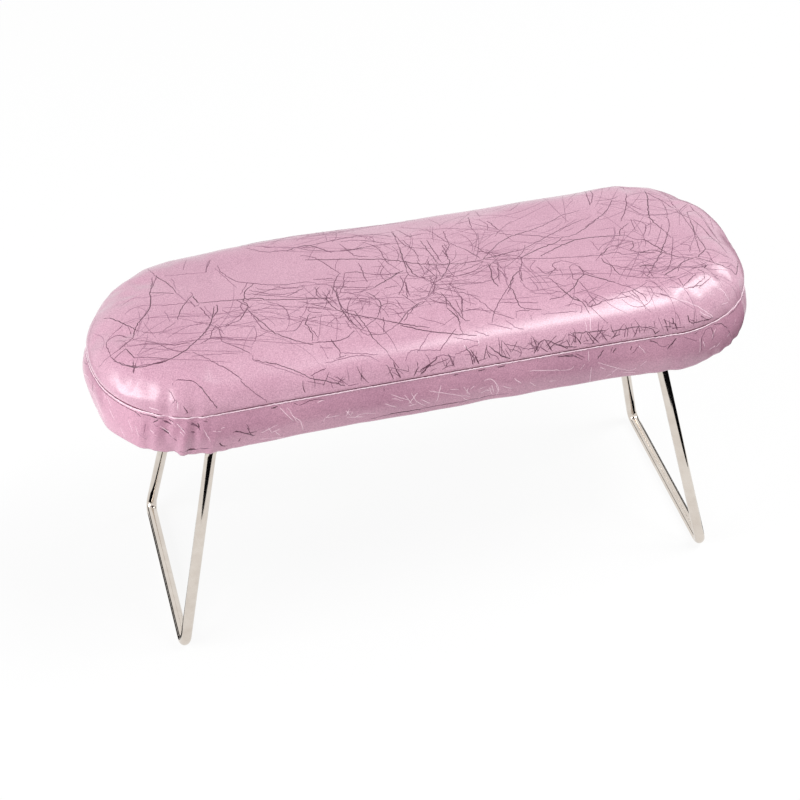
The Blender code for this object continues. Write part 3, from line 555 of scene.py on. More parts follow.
@dataclass(frozen=True)
class CrackleLeatherette:
    """PVC leatherette, calendered with a fine grain and pearl lacquer, then creased.

    The lacquer gives the eye a satin sheen over a soft pink, and a faint net of hair cracks.
    """

    name: str = "pvc_leatherette_pearl_pink"
    colour: str = "D9AABE"
    shade: str = "CF9DB3"
    crack: str = "A97E95"
    fleck_colour: str = "B9A6B0"
    fleck: float = 0.7
    roughness: float = 0.38
    coat: float = 0.85
    coat_roughness: float = 0.27
    grain: float = 0.55 * MM
    relief: float = 0.06 * MM
    mottle: float = 45 * MM
    craze: float = 10 * MM
    craze_bend: float = 12 * MM
    craze_shift: float = 9 * MM
    craze_strength: float = 0.22

    def build(self) -> Material:
        """Build the material's nodes.

        Returns:
            The material.
        """
        material, tree = new_material(self.name)
        place = add_node(tree, "TexCoord").outputs["Object"]
        mottle = add_node(tree, "TexNoise", links={"Vector": place},
                          values={"Scale": 1 / self.mottle, "Detail": 3.0, "Roughness": 0.55})
        colour = add_node(tree, "ValToRGB", links={"Fac": mottle},
                          stops=((0.36, self.shade), (0.62, self.colour)))
        worn = add_node(tree, "Mix", data_type="RGBA", values={7: linear(self.crack)},
                        links={0: self.hair_cracks(tree, place, mottle), 6: colour})
        grain = add_node(tree, "TexNoise", links={"Vector": place},
                         values={"Scale": 1 / self.grain, "Detail": 3.0, "Roughness": 0.65})
        flecks = add_node(tree, "ValToRGB", links={"Fac": grain},
                          stops=((0.3, self.fleck_colour), (0.66, "FFFFFF")))
        pearl = add_node(tree, "Mix", data_type="RGBA", blend_type="MULTIPLY",
                         values={0: self.fleck}, links={6: worn.outputs[2], 7: flecks})
        bump = add_node(tree, "Bump", links={"Height": grain},
                        values={"Strength": 0.5, "Distance": self.relief})
        lustre = {"Roughness": self.roughness, "IOR": 1.5, "Coat Weight": self.coat,
                  "Coat Roughness": self.coat_roughness}
        shader = add_node(tree, "BsdfPrincipled", values=lustre,
                          links={"Base Color": pearl.outputs[2], "Normal": bump})
        add_node(tree, "OutputMaterial", links={"Surface": shader})
        return material

    def hair_cracks(self, tree: Tree, place: Socket, patches: Node) -> Node:
        """Draw hair cracks along the borders of stretched cells, in patches.

        Args:
            tree: the material's nodes.
            place: the coordinates.
            patches: a smooth factor; the cracks fade out where it is low.

        Returns:
            A factor that is above nought on the cracks.
        """
        wobble = add_node(tree, "TexNoise", links={"Vector": place},
                          values={"Scale": 1 / self.craze_bend, "Detail": 2.0})
        moved = add_node(tree, "VectorMath", operation="MULTIPLY_ADD",
                         values={1: (self.craze_shift, self.craze_shift, 0.0)},
                         links={0: wobble.outputs["Color"], 2: place})
        shown = add_node(
            tree, "MapRange", links={"Value": patches},
            values={"From Min": 0.42, "From Max": 0.6, "To Min": 0.06, "To Max": self.craze_strength},
        )
        nets = []
        for turn, stretch, size in ((0.12, 0.45, 1.0), (-0.5, 0.6, 1.7)):
            drawn = add_node(tree, "Mapping", links={"Vector": moved},
                             values={"Rotation": (0.0, 0.0, turn), "Scale": (stretch, 1.0, 1.0)})
            cells = add_node(tree, "TexVoronoi", feature="DISTANCE_TO_EDGE",
                             values={"Scale": 1 / (self.craze * size)}, links={"Vector": drawn})
            nets.append(add_node(
                tree, "MapRange", links={"Value": cells},
                values={"From Min": 0.004, "From Max": 0.022 / size, "To Min": 1.0, "To Max": 0.0},
            ))
        either = add_node(tree, "Math", operation="MAXIMUM", links=dict(enumerate(nets)))
        return add_node(tree, "Math", operation="MULTIPLY", links={0: either, 1: shown})


@dataclass(frozen=True)
class Finish:
    """A finish of two colours blended by a noise or by cells, with its own lustre and relief."""

    name: str
    colours: tuple[str, str]
    scale: float
    blend: Flat = (0.3, 0.7)
    detail: float = 3.0
    stretch: Spot = (1.0, 1.0, 1.0)
    cells: bool = False
    roughness: float = 0.5
    cloudy: Flat | None = None
    gloss: dict[str, float] = field(default_factory=dict)
    relief_scale: float = 0.0
    relief: float = 0.0
    relief_strength: float = 0.7
    relief_cells: bool = False

    def build(self) -> Material:
        """Build the material's nodes.

        Returns:
            The material.
        """
        material, tree = new_material(self.name)
        place = add_node(tree, "TexCoord").outputs["Object"]
        drawn = add_node(tree, "Mapping", values={"Scale": self.stretch},
                         links={"Vector": place})
        pattern = self.pattern(tree, drawn, self.scale, self.detail, self.cells)
        links = {"Base Color": add_node(tree, "ValToRGB", links={"Fac": pattern},
                                        stops=tuple(zip(self.blend, self.colours)))}
        if self.cloudy:
            low, high = (share * self.roughness for share in self.cloudy)
            links["Roughness"] = add_node(tree, "MapRange", links={"Value": pattern},
                                          values={"To Min": low, "To Max": high})
        if self.relief:
            height = self.pattern(tree, place, self.relief_scale, 1.0, self.relief_cells)
            links["Normal"] = add_node(
                tree, "Bump", links={"Height": height},
                values={"Strength": self.relief_strength, "Distance": self.relief},
            )
        shader = add_node(tree, "BsdfPrincipled", links=links,
                          values={"Roughness": self.roughness, **self.gloss})
        add_node(tree, "OutputMaterial", links={"Surface": shader})
        return material

    def pattern(self, tree: Tree, place: Node | Socket, scale: float, detail: float, cells: bool) -> Node:
        """Add a noise, or the distance to the middle of the nearest cell.

        Args:
            tree: the material's nodes.
            place: the coordinates.
            scale: the pattern's size in metres.
            detail: the noise's octaves.
            cells: whether it is cells.

        Returns:
            The node, whose first output is the pattern.
        """
        if cells:
            return add_node(tree, "TexVoronoi", feature="F1", values={"Scale": 1 / scale},
                            links={"Vector": place})
        return add_node(tree, "TexNoise", links={"Vector": place},
                        values={"Scale": 1 / scale, "Detail": detail, "Roughness": 0.6})


@dataclass(frozen=True)
class CreaseFinish(Finish):
    """The same leatherette along a crease of its crackle: darker, or whitish as a painted highlight on
    raised creases and on the folded seam edge.
    """

    scale: float = 4 * MM
    blend: Flat = (0.46, 0.78)
    roughness: float = 0.42
    gloss: dict[str, float] = field(
        default_factory=lambda: {"Coat Weight": 0.3, "Coat Roughness": 0.32},
    )


# Drawn steel rod, polished and nickel plated: a warm grey mirror with faint clouds and a fine relief.
NICKEL = Finish(
    "nickel_plated_steel_rod", ("D0C6BC", "DDD5CC"), 7 * MM, detail=4.0, roughness=0.07,
    cloudy=(0.75, 1.35), gloss={"Metallic": 1.0}, relief_scale=0.35 * MM, relief=0.01 * MM,
    relief_strength=0.12,
)
# Bright zinc plate on steel wire and screws: cool grey with a soft cloudy lustre.
ZINC = Finish(
    "zinc_plated_steel", ("AEB0B4", "C4C6C8"), 1.5 * MM, roughness=0.3, cloudy=(0.7, 1.4),
    gloss={"Metallic": 1.0},
)
# Black spunbonded polypropylene, point-welded: dull cloth with many small pits.
SPUNBOND = Finish(
    "spunbonded_polypropylene_black", ("1B1A1C", "353338"), 0.5 * MM, blend=(0.35, 0.7), detail=4.0,
    roughness=0.85, gloss={"Sheen Weight": 0.15, "Sheen Roughness": 0.5}, relief_scale=1.3 * MM,
    relief=0.12 * MM, relief_cells=True,
)
# Rotary-cut birch plywood, sanded: pale wood with drawn-out grain.
PLYWOOD = Finish(
    "birch_plywood_sanded", ("B98F5F", "DDBB8C"), 2.5 * MM, detail=5.0, stretch=(0.08, 1.0, 1.0),
    roughness=0.7,
)
# Flexible polyurethane foam, cut from a block: cream, dull and full of small cells.
FOAM = Finish(
    "polyurethane_foam_cut", ("C9BD8E", "EFE6C2"), 0.8 * MM, blend=(0.1, 0.6), cells=True,
    roughness=0.95, relief_scale=0.8 * MM, relief=0.3 * MM, relief_cells=True,
)


@dataclass
class Oblong:
    """The rounded oblong that the cushion's outlines follow, at the seam's level.

    A share goes once round it, from 0 at the right end's middle, over the back, to 1.
    """

    half_length: float
    half_width: float
    radius: float

    def __post_init__(self) -> None:
        """Work out the corners' centres, a corner's arc and the way round."""
        self.core_x = self.half_length - self.radius
        self.core_y = self.half_width - self.radius
        self.arc = self.radius * math.pi / 2
        self.around = 4 * (self.core_x + self.core_y + self.arc)

    def station(self, inset: float, share: float) -> tuple[Vector, Vector]:
        """Find a place on the outline.

        Args:
            inset: how far inside the outline, up to its half width.
            share: how far round.

        Returns:
            The point, and the direction that points outwards there.
        """
        core_x, core_y, arc = self.core_x, self.core_y, self.arc
        radius = max(self.radius - inset, TINY)
        inner_y = core_y if inset <= self.radius else core_y + self.radius - inset
        runs = (core_y, arc, 2 * core_x, arc, 2 * core_y, arc, 2 * core_x, arc, core_y)
        travel = (share % 1.0) * sum(runs)
        index = 0
        while travel > runs[index] and index < len(runs) - 1:
            travel -= runs[index]
            index += 1
        passed, in_corner = index // 2, index % 2
        angle = passed * math.pi / 2 + (travel / arc * math.pi / 2 if in_corner else 0.0)
        side_x, side_y = ((1, 1), (-1, 1), (-1, -1), (1, -1))[(passed - 1 + in_corner) % 4]
        corner = Vector((side_x * core_x, side_y * inner_y if index else 0.0, 0.0))
        if in_corner:
            out = Vector((math.cos(angle), math.sin(angle), 0.0))
            return corner + out * radius, out
        out = Vector((round(math.cos(angle)), round(math.sin(angle)), 0.0))
        along = Vector((-out.y, out.x, 0.0))
        step = travel if passed % 2 else travel * inner_y / core_y
        return corner + out * radius + along * step, out

    def share_of(self, point: Vector) -> float:
        """Find how far round the outline a point lies.

        Args:
            point: a point outside the outline's straight core.

        Returns:
            The share of the way round.
        """
        out_x, out_y = max(abs(point.x) - self.core_x, 0.0), max(abs(point.y) - self.core_y, 0.0)
        if out_x > 0 and out_y <= TINY:
            travel = min(abs(point.y), self.core_y)
        elif out_x <= TINY:
            travel = self.core_y + self.arc + self.core_x - min(abs(point.x), self.core_x)
        else:
            travel = self.core_y + self.radius * math.atan2(out_y, out_x)
        if point.x < 0:
            travel = self.around / 2 - travel
        if point.y < 0:
            travel = self.around - travel
        return (travel / self.around) % 1.0


@dataclass
class Section:
    """The cushion's section from its seam: how high its top lies at each inset."""

    seam_height: float
    half_width: float
    lip: float = 1.6 * MM
    roll_width: float = 14 * MM
    roll_height: float = 13 * MM
    crown: float = 4.5 * MM
    steps: int = 400
    table: list[Flat] = field(default_factory=list)

    def __post_init__(self) -> None:
        """Work out the table of (distance over the surface, inset)."""
        travel, last = 0.0, (0.0, self.height(0.0))
        for step in range(self.steps + 1):
            inset = self.half_width * (step / self.steps) ** 2
            here = (inset, self.height(inset))
            travel += math.dist(here, last)
            self.table.append((travel, inset))
            last = here

    def height(self, inset: float) -> float:
        """Find the top's height.

        Args:
            inset: the distance in from the seam.

        Returns:
            The height.
        """
        roll = min(inset / self.roll_width, 1.0)
        crown = min(inset / self.half_width, 1.0)
        rise = (self.roll_height - self.lip) * math.sqrt(max(0.0, 1 - (1 - roll) ** 2))
        return self.seam_height + self.lip + rise + self.crown * (1 - (1 - crown) ** 2)

    def inset_at(self, travel: float) -> float:
        """Find the inset reached after a way over the surface.

        Args:
            travel: the way from the seam.

        Returns:
            The inset.
        """
        if travel >= self.table[-1][0]:
            return travel - self.slack
        place = bisect_right(self.table, (max(travel, 0.0), math.inf))
        before, after = self.table[place - 1], self.table[place]
        share = (travel - before[0]) / max(after[0] - before[0], TINY)
        return before[1] + share * (after[1] - before[1])

    @property
    def slack(self) -> float:
        """How much longer the way over the roll is than its width."""
        return self.table[-1][0] - self.table[-1][1]


@dataclass(frozen=True)
class Folds:
    """A run of small soft folds where the cover is eased round a corner."""

    middle: float
    spread: float
    pitch: float
    depth: float
    lean: float


@dataclass
class Gathers:
    """Where the sewn cover is pulled in at its seam, as small dents along the outline."""

    seed: int = 7
    reach: float = 9 * MM
    corners: tuple[float, ...] = (0.060, 0.440, 0.585, 0.930)
    at_corner: int = 8
    scatter: float = 0.022
    corner_depths: Flat = (0.1, 0.5)
    corner_widths: Flat = (1.8, 4.0)
    elsewhere: int = 30
    other_depths: Flat = (0.05, 0.2)
    other_widths: Flat = (3, 7)
    # Dents seen at the front left corner: place, depth and width in millimetres.
    seen: Veins = ((0.5784, 1.7, 2.5), (0.5944, 1.2, 2.2), (0.567, 0.6, 2.0))
    folds: tuple[Folds, ...] = (
        Folds(0.588, 15 * MM, 6.2 * MM, 1.15 * MM, 5 * MM),
        Folds(0.934, 17 * MM, 7.1 * MM, 0.60 * MM, -4 * MM),
        Folds(0.062, 18 * MM, 7.6 * MM, 0.40 * MM, 3 * MM),
        Folds(0.440, 18 * MM, 6.8 * MM, 0.40 * MM, -3 * MM),
    )
    dents: list[Spot] = field(default_factory=list)

    def __post_init__(self) -> None:
        """Scatter the dents (place, depth, width), closer and deeper round the four corners."""
        chance = random.Random(self.seed)
        for corner in self.corners:
            for _ in range(self.at_corner):
                place = (corner + chance.gauss(0.0, self.scatter)) % 1.0
                self.dents.append((place, chance.uniform(*self.corner_depths) * MM,
                                   chance.uniform(*self.corner_widths) * MM))
        for _ in range(self.elsewhere):
            self.dents.append((chance.random(), chance.uniform(*self.other_depths) * MM,
                               chance.uniform(*self.other_widths) * MM))
        self.dents += [(place, depth * MM, width * MM) for place, depth, width in self.seen]

    def depth(self, share: float, perimeter: float, climb: float = 1.0) -> float:
        """Return how deep the gathers are at a place.

        Args:
            share: the share of the way round.
            perimeter: the outline's length.
            climb: 0 at the band's bottom edge, 1 at the seam and above.

        Returns:
            The depth, inwards.
        """
        total = 0.0
        for place, depth, width in self.dents:
            away = abs(share - place)
            away = min(away, 1 - away) * perimeter
            if away < 4 * width:
                total += depth * math.exp(-(away / width) ** 2)
        for fold in self.folds:
            away = ((share - fold.middle + 0.5) % 1.0 - 0.5) * perimeter
            wave = math.cos(math.tau * (away + fold.lean * (1 - climb)) / fold.pitch)
            total += fold.depth * math.exp(-(away / fold.spread) ** 2) * (0.5 + 0.5 * wave)
        return total


@dataclass(frozen=True)
class Pull:
    """One place where the sewn cover sits a little off its pattern, in millimetres."""

    place: Spot
    reach: float
    shift: Spot


# How the hand-sewn cover of this cushion departs from an even oblong.
PULLS = (
    Pull((-151, 3, 131), 12, (-1.7, 0.0, 0.0)),
    Pull((-151, -14, 128), 9, (0.4, 0.2, 0.0)),
    Pull((-146, -26, 120), 10, (-1.2, -1.2, -1.0)),
    Pull((-136, -42, 120), 10, (-1.0, -1.0, -1.0)),
    Pull((-150, 10, 149), 14, (0.9, 0.0, 0.0)),
    Pull((-143, 26, 147), 14, (1.6, -1.0, -0.7)),
    Pull((-131, 38, 150), 15, (0.5, -0.7, -0.3)),
    Pull((-117, -50, 121), 18, (-0.4, -1.4, -2.3)),
    Pull((-88, -52, 121), 18, (0.0, -0.6, -0.7)),
    Pull((104, -51, 121), 20, (0.3, -1.1, -2.0)),
    Pull((136, -36, 124), 18, (1.1, -1.0, -1.5)),
    Pull((149, -3, 146), 22, (-2.0, -0.2, -0.7)),
    Pull((141, 32, 148), 18, (-0.7, -0.5, -0.1)),
) + tuple(
    Pull((x, 44, 153), 24, (0.0, 0.7, lift))
    for x, lift in ((-80, 1.2), (-50, 1.8), (-20, 1.3), (20, 1.1), (60, 1.1), (98, 1.2))
) + tuple(Pull((x, -52, 121), 24, (0.0, -0.3, -0.3)) for x in (-48, -12, 24, 60))


def pulled(point: Vector) -> Vector:
    """Find where the sewn cover really has a point of its even pattern.

    Args:
        point: the point.

    Returns:
        The moved point.
    """
    moved = point.copy()
    for pull in PULLS:
        away = (point - Vector(pull.place) * MM).length / (pull.reach * MM)
        if away < 3:
            moved += Vector(pull.shift) * MM * math.exp(-away * away)
    return moved


Run = list[tuple[Vector, Vector, float]]


class Creases:
    """A set of creases laid over a surface: low tapered ridges that follow it."""

    rise = 0.05 * MM
    root = 0.04 * MM
    tip_share = 0.35

    def __init__(self, surface: BVHTree, lay: Callable[[float, float], Vector | None]) -> None:
        """Keep the surface and the rule that takes a flat place to a point near it.

        Args:
            surface: the finished surface.
            lay: takes flat coordinates and returns a point, or None off the panel.
        """
        self.surface = surface
        self.lay = lay
        self.strokes: dict[VeinTone, list[Run]] = {tone: [] for tone in VeinTone}

    def add(self, tone: VeinTone, path: list[Flat], width: float) -> None:
        """Lay one stroke on the surface, thin at its ends and cut where it leaves the panel.

        Args:
            tone: how it shows.
            path: flat coordinates.
            width: its width at its middle.
        """
        runs: list[Run] = [[]]
        for index, (across, along) in enumerate(path):
            near = self.lay(across, along)
            if near is None:
                runs.append([])
                continue
            point, normal, _, _ = self.surface.find_nearest(near)
            share = min(max(index / max(len(path) - 1, 1), 0.03), 0.97)
            taper = self.tip_share + (1 - self.tip_share) * math.sin(math.pi * share) ** 0.35
            runs[-1].append((point, normal, width / 2 * taper))
        self.strokes[tone] += [run for run in runs if len(run) >= 3]

    def rib(self, run: Run, index: int) -> list[Vector]:
        """Find one section of a stroke.

        Args:
            run: the stroke.
            index: which of its points.

        Returns:
            Its left foot, its top and its right foot.
        """
        point, normal, half = run[index]
        along = run[min(index + 1, len(run) - 1)][0] - run[max(index - 1, 0)][0]
        if along.length < TINY:
            along = normal.orthogonal()
        across = normal.cross(along.normalized()).normalized() * half
        left, right = (
            foot - lean * self.root
            for foot, lean, _, _ in map(self.surface.find_nearest, (point + across, point - across))
        )
        return [left, point + normal * self.rise, right]

    def build(self, tone: VeinTone, name: str) -> Object:
        """Make one piece of all the strokes of a tone.

        Args:
            tone: which strokes.
            name: the piece's name.

        Returns:
            The mesh object, of closed strips.
        """
        shape = bmesh.new()
        for run in self.strokes[tone]:
            rings = [[shape.verts.new(place) for place in self.rib(run, index)]
                     for index in range(len(run))]
            skin(shape, rings)
            shape.faces.new(rings[0][::-1])
            shape.faces.new(rings[-1])
        piece = in_scene(name, bpy.data.meshes.new(name))
        finish_mesh(shape, piece.data)
        piece.data.shade_smooth()
        return piece


def traced(vein: tuple[float, ...], chance: random.Random, ragged: float) -> list[Flat]:
    """Draw a smooth, slightly ragged crack through a vein's points.

    Args:
        vein: x and y in turn, in millimetres.
        chance: the seeded source of its raggedness.
        ragged: how far a point strays, in millimetres.

    Returns:
        Flat coordinates in metres, about 1.2 mm apart.
    """
    knots = list(zip(vein[::2], vein[1::2]))
    ends = [knots[0]] + knots + [knots[-1]]
    path = []
    for before, start, end, after in zip(ends, ends[1:], ends[2:], ends[3:]):
        steps = max(1, round(math.dist(start, end) / 1.2))
        for step in range(steps):
            t = step / steps
            path.append(tuple(
                (0.5 * (2 * p1 + (p2 - p0) * t + (2 * p0 - 5 * p1 + 4 * p2 - p3) * t * t
                        + (3 * p1 - p0 - 3 * p2 + p3) * t ** 3) + chance.gauss(0.0, ragged)) * MM
                for p0, p1, p2, p3 in zip(before, start, end, after)
            ))
    return path + [(knots[-1][0] * MM, knots[-1][1] * MM)]


@dataclass
class Wander:
    """How a crease wanders: its heading drifts slowly, with small kinks."""

    chance: random.Random
    step: float = 1.6 * MM
    drift: float = 0.0099
    memory: float = 0.94
    kink: float = 0.03
    kink_turn: float = 0.35

    def walk(self, start: Flat, heading: float, length: float, curl: float = 0.0) -> list[Flat]:
        """Return the points of one stroke.

        Args:
            start: where it starts.
            heading: its direction, from the long axis.
            length: its length.
            curl: how much it turns with each metre, in radians.

        Returns:
            Flat coordinates, one step apart.
        """
        x, y = start
        usual = turn = curl * self.step
        points = [(x, y)]
        for _ in range(max(3, round(length / self.step))):
            turn = self.memory * turn + (1 - self.memory) * usual + self.chance.gauss(0.0, self.drift)
            heading += turn
            if self.chance.random() < self.kink:
                heading += self.chance.gauss(0.0, self.kink_turn)
            x += math.cos(heading) * self.step
            y += math.sin(heading) * self.step
            points.append((x, y))
        return points


@dataclass
class Crackle:
    """What the crackle of the top and that of the band have in common."""

    creases: Creases
    widths: tuple[float, float, float, float]
    seed: int

    def __post_init__(self) -> None:
        """Start the seeded source of all its chances."""
        self.chance = random.Random(self.seed)

    def width(self, tone: VeinTone, low: float, high: float) -> float:
        """Draw a crease's width, as a share of its tone's width."""
        return self.widths[list(VeinTone).index(tone)] * MM * self.chance.uniform(low, high)

    def trace(self, table: dict[VeinTone, Veins], spread: Flat, ragged: float) -> None:
        """Lay a table's veins.

        Args:
            table: the veins by their tone.
            spread: the narrowest and the widest, as shares of a tone's width.
            ragged: how far their points stray, in millimetres.
        """
        for tone, veins in table.items():
            for vein in veins:
                width = self.width(tone, *spread)
                self.creases.add(tone, traced(vein, self.chance, ragged), width)


@dataclass
class TopCrackle(Crackle):
    """The crackle of the top panel: its veins, and fine cracks that cross in knots."""

    widths: tuple[float, float, float, float] = (0.84, 0.70, 0.58, 0.60)
    seed: int = 20
    front_edge: float = 0.0
    # Middle, spread and number of cracks, in millimetres.
    knots: tuple[tuple[int, int, int, int], ...] = (
        (-43, -9, 9, 16), (-37, -18, 10, 18), (-12, -10, 12, 20), (26, -5, 12, 20), (12, 2, 10, 22),
        (13, 26, 9, 8), (39, 7, 12, 14), (49, -20, 9, 10), (90, -8, 9, 12), (118, -23, 8, 10),
        (91, -31, 9, 14), (65, -36, 7, 8), (-128, -12, 9, 12), (-78, -14, 14, 12), (-20, 6, 16, 16),
        (100, 22, 10, 8), (0, -24, 18, 16),
    )
    # Number of cracks, where they start in millimetres, spread of their heading, and curl.
    regions: tuple[tuple[int, Flat, Flat, float, float], ...] = (
        (44, (-70, 100), (-34, 44), 0.3, 9), (20, (-138, -85), (-27, 6), 0.16, 6),
        (10, (-75, -40), (28, 46), 0.2, 6), (30, (72, 132), (-34, 40), 1.2, 16),
        (16, (84, 112), (-38, -22), 0.5, 20),
    )
    # Middle and spread in millimetres, and number of cracks, along the front seam.
    fans: tuple[tuple[int, int, int], ...] = (
        (-54, 6, 9), (-42, 4, 8), (-19, 4, 6), (-3, 5, 8), (14, 5, 8), (28, 6, 12), (44, 8, 16),
        (60, 8, 14), (78, 8, 10), (98, 9, 9),
    )

    def grow(self) -> None:
        """Grow every kind of crease."""
        self.trace(TOP_VEINS, (0.85, 1.2), 0.16)
        self.grow_knots(Wander(self.chance))
        self.grow_strays(Wander(self.chance))
        self.grow_fans(Wander(self.chance, step=1.1 * MM))

    def grow_knots(self, wander: Wander) -> None:
        """Grow knots where many short cracks cross.

        Args:
            wander: how the cracks run.
        """
        chance = self.chance
        for x, y, spread, count in self.knots:
            for index in range(count):
                start = (x + chance.gauss(0, spread)) * MM, (y + chance.gauss(0, spread * 0.6)) * MM
                path = wander.walk(start, chance.gauss(0.0, 0.9), chance.uniform(5, 22) * MM,
                                   chance.gauss(0, 45))
                tone = VeinTone.FAINT if index % 4 else VeinTone.MIDDLE
                self.creases.add(tone, path, self.width(tone, 0.6, 0.9))

    def grow_strays(self, wander: Wander) -> None:
        """Grow long faint cracks, most of them lengthways, in the busy part of the top.

        Args:
            wander: how the cracks run.
        """
        chance = self.chance
        for count, across, depth, spread, curl in self.regions:
            for _ in range(count):
                start = chance.uniform(*across) * MM, chance.uniform(*depth) * MM
                length = chance.uniform(20, 70) * MM / (1 + spread)
                path = wander.walk(start, chance.gauss(0.0, spread), length, chance.gauss(0, curl))
                tone = VeinTone.MIDDLE if spread > 1 and chance.random() < 0.3 else VeinTone.FAINT
                self.creases.add(tone, path, self.width(tone, 0.6, 0.9))

    def grow_fans(self, wander: Wander) -> None:
        """Grow short dark cracks that rise from the front seam in fans.

        Args:
            wander: how the cracks run.
        """
        chance = self.chance
        for x, spread, count in self.fans:
            for index in range(count):
                start = (x + chance.gauss(0, spread)) * MM, self.front_edge + chance.uniform(0.8, 3.6) * MM
                path = wander.walk(start, math.pi / 2 + chance.gauss(0.0, 0.75),
                                   chance.uniform(2.5, 7.5) * MM, chance.gauss(0, 70))
                tone = VeinTone.DARK if index % 2 else VeinTone.MIDDLE
                self.creases.add(tone, path, self.width(tone, 0.45, 0.8))


@dataclass
class BandCrackle(Crackle):
    """The crackle of the side band: whitish lines low down as painted highlight, dark stubs under the seam,
    and dashes of painted seam shadow.
    """

    widths: tuple[float, float, float, float] = (0.85, 0.66, 0.52, 0.50)
    seed: int = 41
    perimeter: float = 0.0
    seen_from: float = 0.52
    # Where along the outline, and at what pitch, length, width and height, dashes of painted seam shadow
    # lie.
    painted_seam_shadow_spans: tuple[Flat, ...] = ((0.49, 0.575), (0.93, 0.985))
    stitch_pitch: float = 2.6 * MM
    shadow_dash_share: float = 0.55
    shadow_dash_width: float = 0.6 * MM
    shadow_dash_height: float = 18.4 * MM

    def grow(self) -> None:
        """Grow the front's own veins, and ones like them round the back and the ends."""
        chance = self.chance
        self.trace(BAND_VEINS, (0.8, 1.15), 0.1)
        wander = Wander(chance, step=1.2 * MM)
        # Painted seam shadow: dark dashes at the stitch pitch along the seam at both ends, for the shade of
        # the groove between stitches.
        for first, last in self.painted_seam_shadow_spans:
            for number in range(round((last - first) * self.perimeter / self.stitch_pitch)):
                along = first * self.perimeter + number * self.stitch_pitch
                path = wander.walk((along, self.shadow_dash_height), 0.0, self.stitch_pitch * self.shadow_dash_share)
                self.creases.add(VeinTone.DARK, path, self.shadow_dash_width)
        # LIGHT strokes are painted highlight; the DARK ones are stubs of the crackle under the seam.
        kinds = (
            (VeinTone.LIGHT, 60, (1.5, 12), 0.0, 0.5, (4, 22), 40),
            (VeinTone.DARK, 22, (14, 18.4), -math.pi / 2, 0.5, (3, 7), 60),
            (VeinTone.FAINT, 24, (2, 13), 0.0, 0.9, (4, 12), 60),
        )
        for tone, count, heights, heading, spread, lengths, curl in kinds:
            for _ in range(count):
                start = (chance.uniform(0.02, self.seen_from) * self.perimeter,
                         chance.uniform(*heights) * MM)
                path = wander.walk(start, heading + chance.gauss(0, spread),
                                   chance.uniform(*lengths) * MM, chance.gauss(0, curl))
                self.creases.add(tone, path, self.width(tone, 0.6, 1.0))


